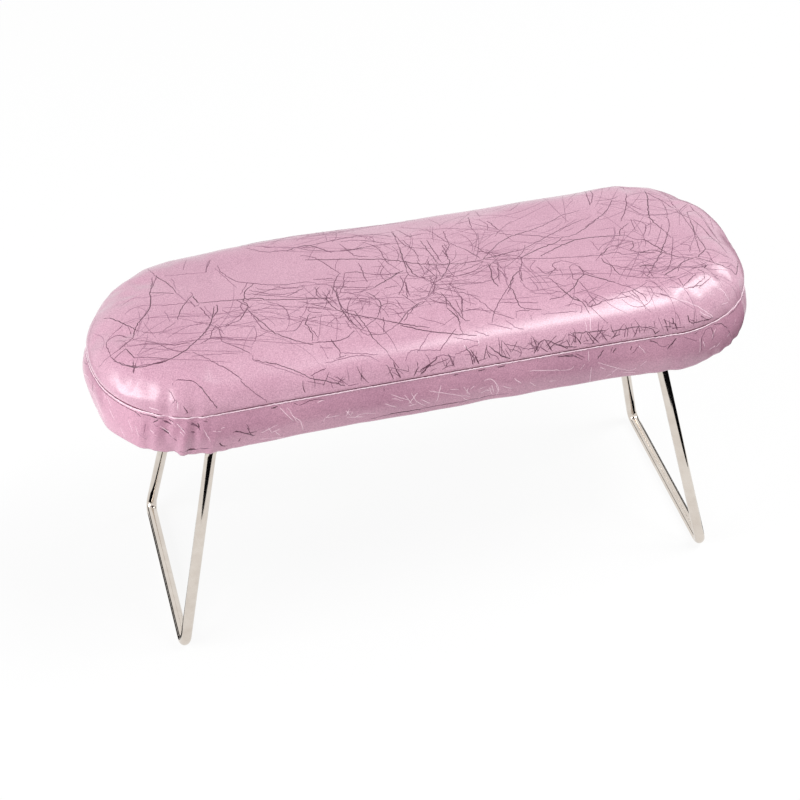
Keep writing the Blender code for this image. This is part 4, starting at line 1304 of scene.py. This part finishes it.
@dataclass
class Cushion:
    """The padded top: sewn panel, side band, seam welt and the creases of its crackle."""

    corner_radius: float = 46.2 * MM
    thickness: float = 1.0 * MM
    columns: int = 104
    rows: int = 34
    core_inset: float = 20 * MM
    roll_rings: int = 15
    lip: float = 1.3 * MM
    allowance_inset: float = 2.9 * MM
    allowance: float = 7 * MM
    drawn_in: float = 0.8
    drawn_down: float = 0.6
    band_points: int = 448
    band_ripples: int = 7
    drawn_low: float = 0.9
    drawn_high: float = 0.45
    drawn_up: float = 0.35
    bulge: float = 1.1 * MM
    edge_radius: float = 2.5 * MM
    fold_radius: float = 1.3 * MM
    fold_depth: float = 6 * MM
    hem_width: float = 14 * MM
    seam_inset: float = 0.8 * MM
    welt_diameter: float = 0.54 * MM
    stitch_pitch: float = 2.6 * MM
    points_a_stitch: int = 5
    seam_margin: float = 0.6 * MM
    hem_margin: float = 0.8 * MM
    pressure: float = 4.0
    frames: int = 20
    stiffness: float = 0.35
    ease_in: float = 0.008
    most_moved: float = 0.9 * MM
    gathers: Gathers = field(default_factory=Gathers)
    surfaces: dict[str, BVHTree] = field(default_factory=dict)

    def __post_init__(self) -> None:
        """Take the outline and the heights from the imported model."""
        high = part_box("top_cover")[1]
        self.oblong = Oblong(high.x, high.y, self.corner_radius)
        self.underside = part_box("side_band")[0].z
        self.seam_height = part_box("side_band")[1].z
        self.section = Section(self.seam_height, high.y)

    def build(self) -> None:
        """Build and dress the whole cushion."""
        cover = CrackleLeatherette().build()
        # The band's copy of the leatherette is painted darker than the top's: painted shade for the band,
        # which faces forward and down.
        band_cover = CrackleLeatherette("pvc_leatherette_pearl_pink_band_painted_shade", "D6A0B7", "C893AB").build()
        panel = self.top_panel()
        dress(panel, cover, "top_cover")
        band = self.side_band()
        dress(band, band_cover, "side_band")
        # The folded seam edge is the same leatherette painted much lighter: a painted highlight along the
        # seam.
        folded_edge_painted_highlight = CreaseFinish("pvc_leatherette_folded_edge", ("F3DAE5", "DDB4C7")).build()
        dress(self.seam_welt(), folded_edge_painted_highlight)
        self.creases()

    def shell(self, piece: Object, surface: str) -> Object:
        """Keep a one-layer cover's surface, and give it its thickness.

        Args:
            piece: the cover, whose faces point outwards.
            surface: the name to keep its surface under.

        Returns:
            The cover, a closed shell.
        """
        self.surfaces[surface] = surface_of(piece)
        modify(piece, "SOLIDIFY", thickness=self.thickness, offset=-1.0)
        piece.data.shade_smooth()
        return piece

    def top_panel(self) -> Object:
        """Shape the crowned top panel from a grid whose rings follow the outline.

        Returns:
            The panel, a closed shell.
        """
        panel = added(bpy.ops.mesh.primitive_grid_add, x_subdivisions=self.columns,
                      y_subdivisions=self.rows, size=2.0)
        for vert in panel.data.vertices:
            vert.co = self.ring_place(round((vert.co.x + 1) / 2 * self.columns),
                                      round((vert.co.y + 1) / 2 * self.rows))
        self.extrude_roll(panel)
        self.pull_gathers(panel)
        self.fill(panel)
        modify(panel, "SUBSURF", levels=1, render_levels=1)
        return settle(self.shell(panel, "top"), "top_panel")

    def ring_place(self, column: int, row: int) -> Vector:
        """Place a grid point on its ring.

        Args:
            column: the point's column.
            row: the point's row.

        Returns:
            The point on the crowned top.
        """
        oblong = self.oblong
        ring = min(column, self.columns - column, row, self.rows - row)
        deepest = oblong.half_width - 0.2 * MM
        inset = self.core_inset + (deepest - self.core_inset) * ring / (self.rows // 2)
        width, depth = self.columns - 2 * ring, self.rows - 2 * ring
        column, row = column - ring, row - ring
        height = self.section.height(inset)
        if depth == 0:
            return Vector(((column / width * 2 - 1) * oblong.core_x, 0.0, height))
        long_share = (2 * oblong.core_x + oblong.arc) / oblong.around
        short_share = (2 * oblong.core_y + oblong.arc) / oblong.around
        if row == depth:
            share = 0.25 + long_share * (0.5 - column / width)
        elif column == 0:
            share = 0.5 + short_share * (0.5 - row / depth)
        elif row == 0:
            share = 0.75 + long_share * (column / width - 0.5)
        else:
            share = short_share * (row / depth - 0.5)
        point, _ = oblong.station(inset, share)
        return Vector((point.x, point.y, height))

    def extrude_roll(self, panel: Object) -> None:
        """Lead the grid's border out over the roll, down to the seam and its allowance.

        The rings come in a set order, because the simulation follows the mesh's own order.

        Args:
            panel: the grid.
        """
        insets = [self.core_inset * (1 - step / self.roll_rings) ** 1.7
                  for step in range(1, self.roll_rings + 1)]
        base = self.seam_height + self.section.lip
        stations = [(inset, self.section.height(inset)) for inset in insets]
        stations += [(self.lip * (1 - math.cos(angle)), base - self.lip * math.sin(angle))
                     for angle in (math.pi / 6, math.pi / 3, math.pi / 2)]
        stations += [(self.allowance_inset, base - self.lip),
                     (self.allowance_inset, self.seam_height - self.allowance)]
        shape = bmesh.new()
        shape.from_mesh(panel.data)
        border = {vert: self.oblong.share_of(vert.co) for vert in shape.verts if vert.is_boundary}
        shares = sorted(border.values())
        rings = [sorted(border, key=border.get)]
        for inset, height in stations:
            ring = []
            for share in shares:
                point, _ = self.oblong.station(inset, share)
                point.z = height
                ring.append(shape.verts.new(point))
            rings.append(ring)
        skin(shape, rings)
        finish_mesh(shape, panel.data, axis=2)

    def pull_gathers(self, panel: Object) -> None:
        """Pull the cover in at its gathers, fading out up the roll, and to its real outline.

        Args:
            panel: the panel, still one layer.
        """
        for vert in panel.data.vertices:
            share = self.oblong.share_of(vert.co)
            edge, out = self.oblong.station(0.0, share)
            inset = (edge - vert.co).to_2d().length
            rise = vert.co.z - self.seam_height
            if inset <= 4 * self.gathers.reach and rise >= 0:
                fade = math.exp(-((inset + rise * 0.5) / self.gathers.reach) ** 2)
                depth = self.gathers.depth(share, self.oblong.around) * fade * min(rise / (2 * MM), 1.0)
                vert.co -= (out * self.drawn_in + Vector((0.0, 0.0, self.drawn_down))) * depth
            vert.co = pulled(vert.co)

    def fill(self, panel: Object) -> None:
        """Let the panel swell against its seam by a cloth simulation, held to a small movement.

        Args:
            panel: the panel, still one layer.
        """
        before = [vert.co.copy() for vert in panel.data.vertices]
        held = panel.vertex_groups.new(name="seam")
        seam = self.seam_height + self.section.lip + 0.4 * MM
        held.add([vert.index for vert in panel.data.vertices if vert.co.z < seam], 1.0, "ADD")
        cloth = panel.modifiers.new("filling", "CLOTH")
        rules = {
            "quality": 8, "mass": 0.15, "tension_stiffness": 20, "compression_stiffness": 20,
            "shear_stiffness": 10, "bending_stiffness": self.stiffness, "shrink_min": -self.ease_in,
            "use_pressure": True, "uniform_pressure_force": self.pressure,
            "vertex_group_mass": held.name,
        }
        for key, value in rules.items():
            setattr(cloth.settings, key, value)
        cloth.settings.effector_weights.gravity = 0.0
        cloth.collision_settings.use_collision = False
        cloth.point_cache.frame_start, cloth.point_cache.frame_end = 1, self.frames
        for number in range(1, self.frames + 1):
            bpy.context.scene.frame_set(number)
        select_only(panel)
        bpy.ops.object.modifier_apply(modifier=cloth.name)
        bpy.context.scene.frame_set(1)
        for vert, start in zip(panel.data.vertices, before):
            moved = vert.co - start
            if moved.length > TINY:
                limit = self.most_moved
                vert.co = start + moved.normalized() * limit * math.tanh(moved.length / limit)
        panel.vertex_groups.clear()

    def band_profile(self) -> list[Flat]:
        """Work out the band's section.

        Returns:
            Its points as (inset, height): hem, bottom turn, wall and fold.
        """
        shift, edge, fold = self.seam_inset, self.edge_radius, self.fold_radius
        bottom, top = self.underside, self.seam_height
        profile = [(self.hem_width - shift, bottom), (self.hem_width / 2 - shift, bottom)]
        for step in range(7):
            angle = math.pi * (1.5 - step / 12)
            profile.append((edge * (1 + math.cos(angle)) - shift, bottom + edge * (1 + math.sin(angle))))
        for step in range(1, 14):
            share = step / 14
            height = bottom + edge + (top - fold - bottom - edge) * share
            profile.append((shift * (share - 1) - self.bulge * math.sin(math.pi * share), height))
        for step in range(9):
            angle = math.pi * (1 - step / 8)
            profile.append((fold * (1 + math.cos(angle)), top - fold * (1 - math.sin(angle))))
        return profile + [(2 * fold, top - fold - self.fold_depth)]

    def side_band(self) -> Object:
        """Sweep the band's section round the outline, with its gathers, ripples and pulls.

        Returns:
            The band, a closed shell.
        """
        bottom, top = self.underside, self.seam_height
        wave = random.Random(31)
        ripples = [(wave.uniform(9, 34), wave.uniform(0, math.tau), wave.uniform(0.05, 0.14) * MM)
                   for _ in range(self.band_ripples)]
        shape = bmesh.new()
        rings = []
        for inset, height in self.band_profile():
            ring = []
            climb = (height - bottom) / (top - bottom)
            outer = max(0.0, 1 - inset / (5 * MM))
            for index in range(self.band_points):
                share = index / self.band_points
                point, out = self.oblong.station(inset, share)
                gather = self.gathers.depth(share, self.oblong.around, min(max(climb, 0.0), 1.0))
                ripple = sum(size * math.sin(math.tau * round(count) * share + phase)
                             for count, phase, size in ripples)
                drawn = self.drawn_low * (1 - climb) + self.drawn_high * climb
                eased = (gather * drawn + ripple * (1 - climb)) * outer
                point.z = height + gather * self.drawn_up * (1 - climb) * outer
                flat = point - out * eased
                ring.append(shape.verts.new(flat.lerp(pulled(flat), min(outer * 2.5, 1.0))))
            rings.append(ring)
        skin(shape, rings)
        band = in_scene("side_band_cover", bpy.data.meshes.new("side_band_cover"))
        finish_mesh(shape, band.data, axis=0)
        return self.shell(band, "band")

    def seam_welt(self) -> Object:
        """Lay the thin folded edge that stands out along the seam, drawn in at each stitch.

        Returns:
            The welt, a closed tube.
        """
        around = self.oblong.around
        count = round(around / self.stitch_pitch) * self.points_a_stitch
        curve = bpy.data.curves.new("seam_welt", "CURVE")
        curve.dimensions = "3D"
        curve.bevel_depth = self.welt_diameter / 2
        curve.bevel_resolution = 2
        spline = curve.splines.new("POLY")
        spline.points.add(count - 1)
        chance = random.Random(13)
        for index, place in enumerate(spline.points):
            share = index / count
            point, out = self.oblong.station(0.15 * MM, share)
            point.z = self.seam_height + 0.1 * MM
            wobble = Vector((0.0, 0.0, chance.gauss(0.0, 0.07 * MM)))
            spot = pulled(point - out * self.gathers.depth(share, around) * self.drawn_high) + wobble
            beat = abs(math.sin(math.pi * index / self.points_a_stitch))
            place.co = (*spot, 1.0)
            place.radius = 0.72 + 0.2 * beat + chance.uniform(0.0, 0.3)
        spline.use_cyclic_u = True
        select_only(in_scene("seam_welt", curve))
        bpy.ops.object.convert(target="MESH")
        welt = bpy.context.view_layer.objects.active
        face_outwards(welt)
        welt.data.shade_smooth()
        return settle(welt, "seam_welt")

    def lay_on_top(self, x: float, y: float) -> Vector | None:
        """Take a place on the flat, unrolled panel to the sewn one.

        Args:
            x: flat distance along the cushion from its middle.
            y: flat distance to the back from its middle.

        Returns:
            A point near the panel, or None past the seam.
        """
        oblong, section = self.oblong, self.section
        out_x, out_y = max(abs(x) - oblong.core_x, 0.0), max(abs(y) - oblong.core_y, 0.0)
        reach = math.hypot(out_x, out_y)
        travel = oblong.radius + section.slack - reach
        if travel < self.seam_margin:
            return None
        inset = section.inset_at(travel)
        scale = (oblong.radius - inset) / reach if reach > TINY else 1.0
        place_x = oblong.core_x + out_x * scale if out_x > 0 else abs(x)
        place_y = oblong.core_y + out_y * scale if out_y > 0 else abs(y)
        height = section.height(min(inset, oblong.half_width))
        return pulled(Vector((math.copysign(place_x, x), math.copysign(place_y, y), height)))

    def lay_on_band(self, along: float, up: float) -> Vector | None:
        """Take a place on the flat band to the sewn one.

        Args:
            along: distance round the outline, from the right end's middle.
            up: height above the underside.

        Returns:
            A point near the band, or None past its edges.
        """
        if not self.hem_margin < up < self.seam_height - self.underside - 0.9 * MM:
            return None
        point, _ = self.oblong.station(-self.seam_inset, along / self.oblong.around)
        return pulled(point + Vector((0.0, 0.0, self.underside + up)))

    def creases(self) -> None:
        """Grow the crackle's creases over the panel and the band, and dress them."""
        tones = {
            VeinTone.DARK: CreaseFinish("pvc_leatherette_dark_crease", ("4E2339", "6E4058")),
            VeinTone.MIDDLE: CreaseFinish("pvc_leatherette_crease", ("683A52", "895A73")),
            VeinTone.FAINT: CreaseFinish("pvc_leatherette_faint_crease", ("805069", "9F758C")),
            # Light creases: whitish painted highlight where raised creases catch the light.
            VeinTone.LIGHT: CreaseFinish("pvc_leatherette_crease_painted_highlight", ("EFD2DE", "DDB5C8")),
        }
        materials = {tone: finish.build() for tone, finish in tones.items()}
        front_edge = -self.oblong.half_width - self.section.slack
        top = TopCrackle(Creases(self.surfaces["top"], self.lay_on_top), front_edge=front_edge)
        side = BandCrackle(Creases(self.surfaces["band"], self.lay_on_band),
                           perimeter=self.oblong.around)
        for owner, prefix in ((top, "top"), (side, "band")):
            owner.grow()
            for tone, material in materials.items():
                if owner.creases.strokes[tone]:
                    name = f"{prefix}_{tone.value}_creases"
                    dress(owner.creases.build(tone, name), material)


@dataclass
class RodLeg:
    """One leg: a rod bent twice at the floor and twice under the board, its ends pressed flat."""

    side: Side
    diameter: float = 5.0 * MM
    floor_x: float = 126.8 * MM
    floor_y: float = 49.0 * MM
    top_x: float = 101.8 * MM
    top_y: float = 32.75 * MM
    palm_tip_x: float = 59.8 * MM
    rod_top: float = 118.8 * MM
    floor_bend: float = 4.8 * MM
    top_bend: float = 18.0 * MM
    palm_length: float = 13.0 * MM
    palm_width: float = 9.0 * MM
    palm_thickness: float = 2.2 * MM
    press_ramp: float = 7.0 * MM
    hole_diameter: float = 4.0 * MM
    sides: int = 40
    bend_steps: int = 18
    ramp_stops: tuple[float, ...] = (1.0, 0.85, 0.7, 0.55, 0.4, 0.25, 0.1, 0.0)
    nose_stops: tuple[float, ...] = (1.6, 1.0, 0.8, 0.62, 0.46, 0.32, 0.2, 0.1, 0.03, 0.0)

    def build(self, finish: Material) -> None:
        """Bend the rod, press its palms, drill them and dress the leg.

        Args:
            finish: the rod's material.
        """
        name = f"leg_{self.side.name.lower()}"
        radius = self.diameter / 2
        sign = self.side.value
        middle = Vector((sign * self.floor_x, 0.0, radius))
        floor_corner = Vector((sign * self.floor_x, self.floor_y, radius))
        top_corner = Vector((sign * self.top_x, self.top_y, self.rod_top - radius))
        tip = Vector((sign * self.palm_tip_x, self.top_y, self.rod_top - radius))
        stops = [self.palm_length + self.press_ramp * share for share in self.ramp_stops]
        stops += [self.palm_width / 2 * share for share in self.nose_stops]
        rod = added(bpy.ops.mesh.primitive_circle_add, vertices=self.sides, radius=radius,
                    fill_type="NGON", location=middle, rotation=(math.pi / 2, 0.0, 0.0))
        settle(rod, f"{name}_rod")
        with editing(rod):
            bpy.ops.mesh.select_mode(type="FACE")
            bpy.ops.mesh.select_all(action="SELECT")
            place = self.bend(middle, floor_corner, top_corner, self.floor_bend, middle)
            place = self.bend(floor_corner, top_corner, tip, self.top_bend, place)
            for stop in stops:
                after = tip + Vector((sign * stop, 0.0, 0.0))
                extrude_by(after - place)
                place = after
            select_faces(rod, lambda centre, _: abs(centre.y) < TINY)
            bpy.ops.mesh.delete(type="ONLY_FACE")
        self.press(rod)
        modify(rod, "MIRROR", use_axis=(False, True, False), use_clip=True, merge_threshold=1e-5)
        face_outwards(rod)
        for y in (-self.top_y, self.top_y):
            cut(rod, added(
                bpy.ops.mesh.primitive_cylinder_add, vertices=32, radius=self.hole_diameter / 2,
                depth=self.diameter * 2, location=(tip.x + sign * self.palm_width / 2, y, self.rod_top),
            ))
        smooth_but_edges(rod)
        dress(rod, finish, name)

    def bend(self, before: Vector, corner: Vector, after: Vector, radius: float, place: Vector) -> Vector:
        """Extrude the selected cap up to a bend and spin it round.

        Args:
            before: the corner before this one.
            corner: the corner to round.
            after: the corner after this one.
            radius: the bend's radius at the rod's middle.
            place: where the cap is.

        Returns:
            Where the cap is after the bend.
        """
        incoming, outgoing = (corner - before).normalized(), (after - corner).normalized()
        turn = incoming.angle(outgoing)
        reach = radius * math.tan(turn / 2)
        start = corner - incoming * reach
        inwards = (outgoing - incoming * outgoing.dot(incoming)).normalized()
        extrude_by(start - place)
        bpy.ops.mesh.spin(steps=self.bend_steps, angle=-turn, center=start + inwards * radius,
                          axis=incoming.cross(outgoing).normalized())
        return corner + outgoing * reach

    def press(self, rod: Object) -> None:
        """Press the rod's end into a flat, round-nosed palm that keeps its upper side.

        Args:
            rod: the bent rod.
        """
        radius = self.diameter / 2
        middle = self.rod_top - radius
        nose = self.palm_width / 2
        pressed = self.palm_length + self.press_ramp
        for vert in rod.data.vertices:
            distance = self.side.value * vert.co.x - self.palm_tip_x
            share = 1 - ease(distance, self.palm_length, pressed)
            if distance >= pressed or vert.co.z < middle - self.diameter:
                continue
            across = (vert.co.y - self.top_y) / radius
            up = min(max((vert.co.z - middle) / radius * (1 + 0.8 * share), -1.0), 1.0)
            width = nose
            if distance < nose:
                width = nose * math.sqrt(max(0.0, 1 - ((nose - distance) / (nose * 1.06)) ** 2))
            half_height = radius + (self.palm_thickness / 2 - radius) * share
            vert.co.y = self.top_y + across * (radius + (width - radius) * share)
            vert.co.z = self.rod_top - half_height + up * half_height


@dataclass
class Underside:
    """What is under the cushion: stretched dust cover, staples and screws."""

    hem_in: float = 6.5 * MM
    cloth: float = 0.4 * MM
    over_hem: float = 0.35 * MM
    turned: float = 0.25 * MM
    turned_edge: float = 6.0 * MM
    ripple: float = 0.03 * MM
    dimple: float = 0.22 * MM
    dimple_reach: float = 3.5 * MM
    rows: int = 30
    columns: int = 300
    head_diameter: float = 7.0 * MM
    head_height: float = 2.2 * MM
    shank_diameter: float = 3.4 * MM
    shank_length: float = 4.5 * MM
    recess: float = 3.6 * MM
    blade: float = 0.8 * MM
    foam_ease: Spot = (0.975, 0.94, 0.93)

    def build(self, zinc: Material) -> None:
        """Stretch the dust cover, set the screws and dress what is under the cushion.

        Args:
            zinc: the fasteners' material.
        """
        nodes = frame["nodes"]
        dress(nodes["base_board"], PLYWOOD.build())
        self.foam(FOAM.build())
        self.dust_cloth(SPUNBOND.build())
        pattern = self.screw()
        for name, node in nodes.items():
            if name.startswith("staple_"):
                dress(node, zinc)
            if name.startswith("screw_"):
                self.drive(pattern, name, zinc)
        bpy.data.objects.remove(pattern, do_unlink=True)

    def foam(self, material: Material) -> None:
        """Press the foam core a little smaller than it was cut, as the tight cover does.

        Args:
            material: the foam's finish.
        """
        core = in_scene("foam_pad", frame["nodes"]["foam_core"].data.copy())
        face_outwards(core, merged=1e-6)
        low = min(vert.co.z for vert in core.data.vertices)
        for vert in core.data.vertices:
            vert.co.x *= self.foam_ease[0]
            vert.co.y *= self.foam_ease[1]
            vert.co.z = low + (vert.co.z - low) * self.foam_ease[2]
        settle(core, "foam_pad")
        core.data.shade_smooth()
        dress(core, material, "foam_core")

    def dust_cloth(self, material: Material) -> None:
        """Stretch the cloth over the board and the hem, with its edge turned under.

        Args:
            material: the cloth's finish.
        """
        low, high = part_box("dust_cover")
        radius = high.y
        core = high.x - radius
        staples = [sum(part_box(name), Vector()) / 2 for name in frame["nodes"]
                   if name.startswith("staple_")]
        sheet = added(bpy.ops.mesh.primitive_grid_add, x_subdivisions=self.columns,
                      y_subdivisions=self.rows, size=2.0)
        chance = random.Random(5)
        waves = [(chance.uniform(20, 70), chance.uniform(8, 40), chance.uniform(0, math.tau))
                 for _ in range(6)]
        for vert in sheet.data.vertices:
            y = vert.co.y * radius
            x = vert.co.x * (core + math.sqrt(max(radius * radius - y * y, 0.0)))
            inset = radius - math.hypot(max(abs(x) - core, 0.0), y)
            lift = self.over_hem * ease(inset, self.hem_in - 1.2 * MM, self.hem_in + 2.0 * MM)
            lift += self.turned * ease(inset, self.turned_edge - 5.4 * MM, self.turned_edge)
            lift += self.dimple * sum(
                math.exp(-((x - staple.x) ** 2 + (y - staple.y) ** 2) / self.dimple_reach ** 2)
                for staple in staples
            )
            lift += self.ripple * ease(inset, self.hem_in, self.hem_in + 12 * MM) * sum(
                math.sin(x * fx + y * fy + phase) for fx, fy, phase in waves
            )
            vert.co = Vector((x, y, low.z + min(max(lift, 0.0), high.z - low.z + 0.5 * MM)))
        modify(sheet, "SOLIDIFY", thickness=self.cloth, offset=1.0)
        sheet.data.shade_smooth()
        settle(sheet, "dust_cloth")
        dress(sheet, material, "dust_cover")

    def screw(self) -> Object:
        """Turn one pan-head screw, head down at the origin, and cut its cross recess.

        Returns:
            The screw, to be copied.
        """
        screw = added(bpy.ops.mesh.primitive_cylinder_add, vertices=36,
                      radius=self.shank_diameter / 2, depth=self.shank_length,
                      location=(0, 0, self.shank_length / 2))
        settle(screw, "screw_pattern")
        head = self.head_diameter / self.shank_diameter
        steps = ((head, 0.0), (1.0, -0.35), (0.93, -0.25), (0.86, -0.2), (0.72, -0.13), (0.5, -0.07))
        with editing(screw):
            select_faces(screw, lambda _, normal: normal.z < -0.9)
            for scale, drop in steps:
                extrude_by(Vector((0.0, 0.0, drop * self.head_height)))
                bpy.ops.transform.resize(value=(scale, scale, 1.0))
        face_outwards(screw)
        for turn in (0.0, math.pi / 2):
            blade = added(bpy.ops.mesh.primitive_cube_add, size=1.0, rotation=(0, 0, turn),
                          location=(0, 0, -self.head_height))
            blade.scale = (self.recess, self.blade, self.head_height)
            cut(screw, settle(blade, "blade"))
        smooth_but_edges(screw)
        return screw

    def drive(self, pattern: Object, node: str, zinc: Material) -> None:
        """Put a copy of the screw in place of a CAD screw.

        Args:
            pattern: the screw to copy.
            node: the CAD screw's name.
            zinc: its material.
        """
        low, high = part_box(node)
        screw = in_scene(f"{node}_pan_head", pattern.data.copy())
        middle = (low + high) / 2
        screw.location = (middle.x, middle.y, low.z + self.head_height)
        dress(settle(screw, f"{node}_pan_head"), zinc, node)


@dataclass
class Studio:
    """A plain pale floor, soft lamps, dark cards out of view, and the camera."""

    camera_place: Spot = (-0.18354, -0.68618, 0.68248)
    camera_turn: Spot = (49.80, 0.678, -14.742)
    lens: float = 89.85
    sensor: float = 36.0
    floor_size: float = 8.0
    floor_glow: float = 0.90
    sky: float = 0.33
    white: tuple[float, ...] = (1.0, 1.0, 1.0, 1.0)

    def build(self) -> None:
        """Set the whole studio up."""
        bpy.context.scene.view_settings.view_transform = "Standard"
        self.camera()
        self.floor()
        self.world()
        self.lamp("key_softbox", (0.50, -0.26, 1.25), (0.02, 0.0, 0.14), (0.60, 0.28), 7.2)
        self.lamp("left_softbox", (-1.02, -0.27, 0.48), (-0.13, 0.0, 0.14), (0.85, 0.60), 10.5)
        self.lamp("right_softbox", (0.98, 0.02, 0.98), (0.12, 0.0, 0.14), (0.60, 0.45), 6.5)
        self.cards()

    def camera(self) -> None:
        """Place the camera at the photograph's angle."""
        camera = in_scene("camera", bpy.data.cameras.new("camera"))
        camera.data.lens = self.lens
        camera.data.sensor_width = self.sensor
        camera.location = self.camera_place
        camera.rotation_euler = [math.radians(angle) for angle in self.camera_turn]
        bpy.context.scene.camera = camera

    def floor(self) -> None:
        """Lay a white floor that glows to white for the eye and still takes shadows."""
        floor = added(bpy.ops.mesh.primitive_plane_add, size=self.floor_size)
        floor.name = "studio_floor"
        material, tree = new_material("matt_white_paper")
        paper = add_node(tree, "BsdfDiffuse",
                         values={"Color": linear("F4F4F4"), "Roughness": 0.5})
        glow = add_node(tree, "Emission", values={"Color": self.white, "Strength": 1.0})
        share = add_node(tree, "Math", operation="MULTIPLY", values={1: self.floor_glow},
                         links={0: self.seen(tree)})
        mix = add_node(tree, "MixShader", links={0: share, 1: paper, 2: glow})
        add_node(tree, "OutputMaterial", links={"Surface": mix})
        floor.data.materials.append(material)

    def seen(self, tree: Tree) -> Node:
        """Add nodes that tell camera, mirror and glass rays from the rest.

        Args:
            tree: the nodes to add to.

        Returns:
            The last node, whose factor is 1 for such rays.
        """
        path = add_node(tree, "LightPath").outputs
        shiny = add_node(tree, "Math", operation="MAXIMUM",
                         links={0: path["Is Camera Ray"], 1: path["Is Glossy Ray"]})
        return add_node(tree, "Math", operation="MAXIMUM",
                        links={0: shiny, 1: path["Is Transmission Ray"]})

    def world(self) -> None:
        """Give an even sky that the eye and mirrors see as white."""
        world = bpy.data.worlds.new("studio_sky")
        bpy.context.scene.world = world
        world.use_nodes = True
        tree = world.node_tree
        tree.nodes.clear()
        light, white = (
            add_node(tree, "Background", values={"Color": self.white, "Strength": strength})
            for strength in (self.sky, 1.0)
        )
        mix = add_node(tree, "MixShader", links={0: self.seen(tree), 1: light, 2: white})
        add_node(tree, "OutputWorld", links={"Surface": mix})

    def lamp(self, name: str, place: Spot, target: Spot, size: Flat, power: float) -> None:
        """Hang one rectangular softbox.

        Args:
            name: the lamp's name.
            place: where it hangs.
            target: what it points at.
            size: its width and height.
            power: its power in watts.
        """
        lamp = in_scene(name, bpy.data.lights.new(name, "AREA"))
        lamp.data.shape = "RECTANGLE"
        lamp.data.size, lamp.data.size_y = size
        lamp.data.energy = power
        lamp.location = place
        aim = Vector(target) - Vector(place)
        lamp.rotation_euler = aim.to_track_quat("-Z", "Y").to_euler()

    def cards(self) -> None:
        """Stand dark cards round the set, out of view, for the rods to mirror."""
        material, tree = new_material("black_card")
        card = add_node(tree, "BsdfDiffuse",
                        values={"Color": linear("0C0C0E"), "Roughness": 0.5})
        add_node(tree, "OutputMaterial", links={"Surface": card})
        places = (
            ("card_front", (0.18, -0.607, 0.002), (1.28, 0.80, 0.001)),
            ("card_right", (0.47, -0.06, 0.002), (0.50, 0.294, 0.001)),
            ("card_back_left", (-0.31, 0.30, 0.042), (0.004, 0.44, 0.084)),
            ("card_back_right", (0.31, 0.24, 0.052), (0.004, 0.32, 0.104)),
            ("card_bar_left", (-0.1375, 0.002, 0.001), (0.013, 0.088, 0.001)),
            ("card_bar_right", (0.1375, 0.002, 0.001), (0.013, 0.088, 0.001)),
        )
        for name, place, size in places:
            board = added(bpy.ops.mesh.primitive_cube_add, size=1.0, location=place, scale=size)
            board.name = name
            board.data.materials.append(material)
            board.visible_camera = board.visible_diffuse = board.visible_shadow = False


def main() -> None:
    """Build the studio and every sub-assembly, in order."""
    logging.basicConfig(level=logging.INFO, format="%(name)s: %(message)s")
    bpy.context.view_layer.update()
    Studio().build()
    nickel = NICKEL.build()
    for side in Side:
        RodLeg(side).build(nickel)
    Underside().build(ZINC.build())
    Cushion().build()


if __name__ == "__main__":
    main()
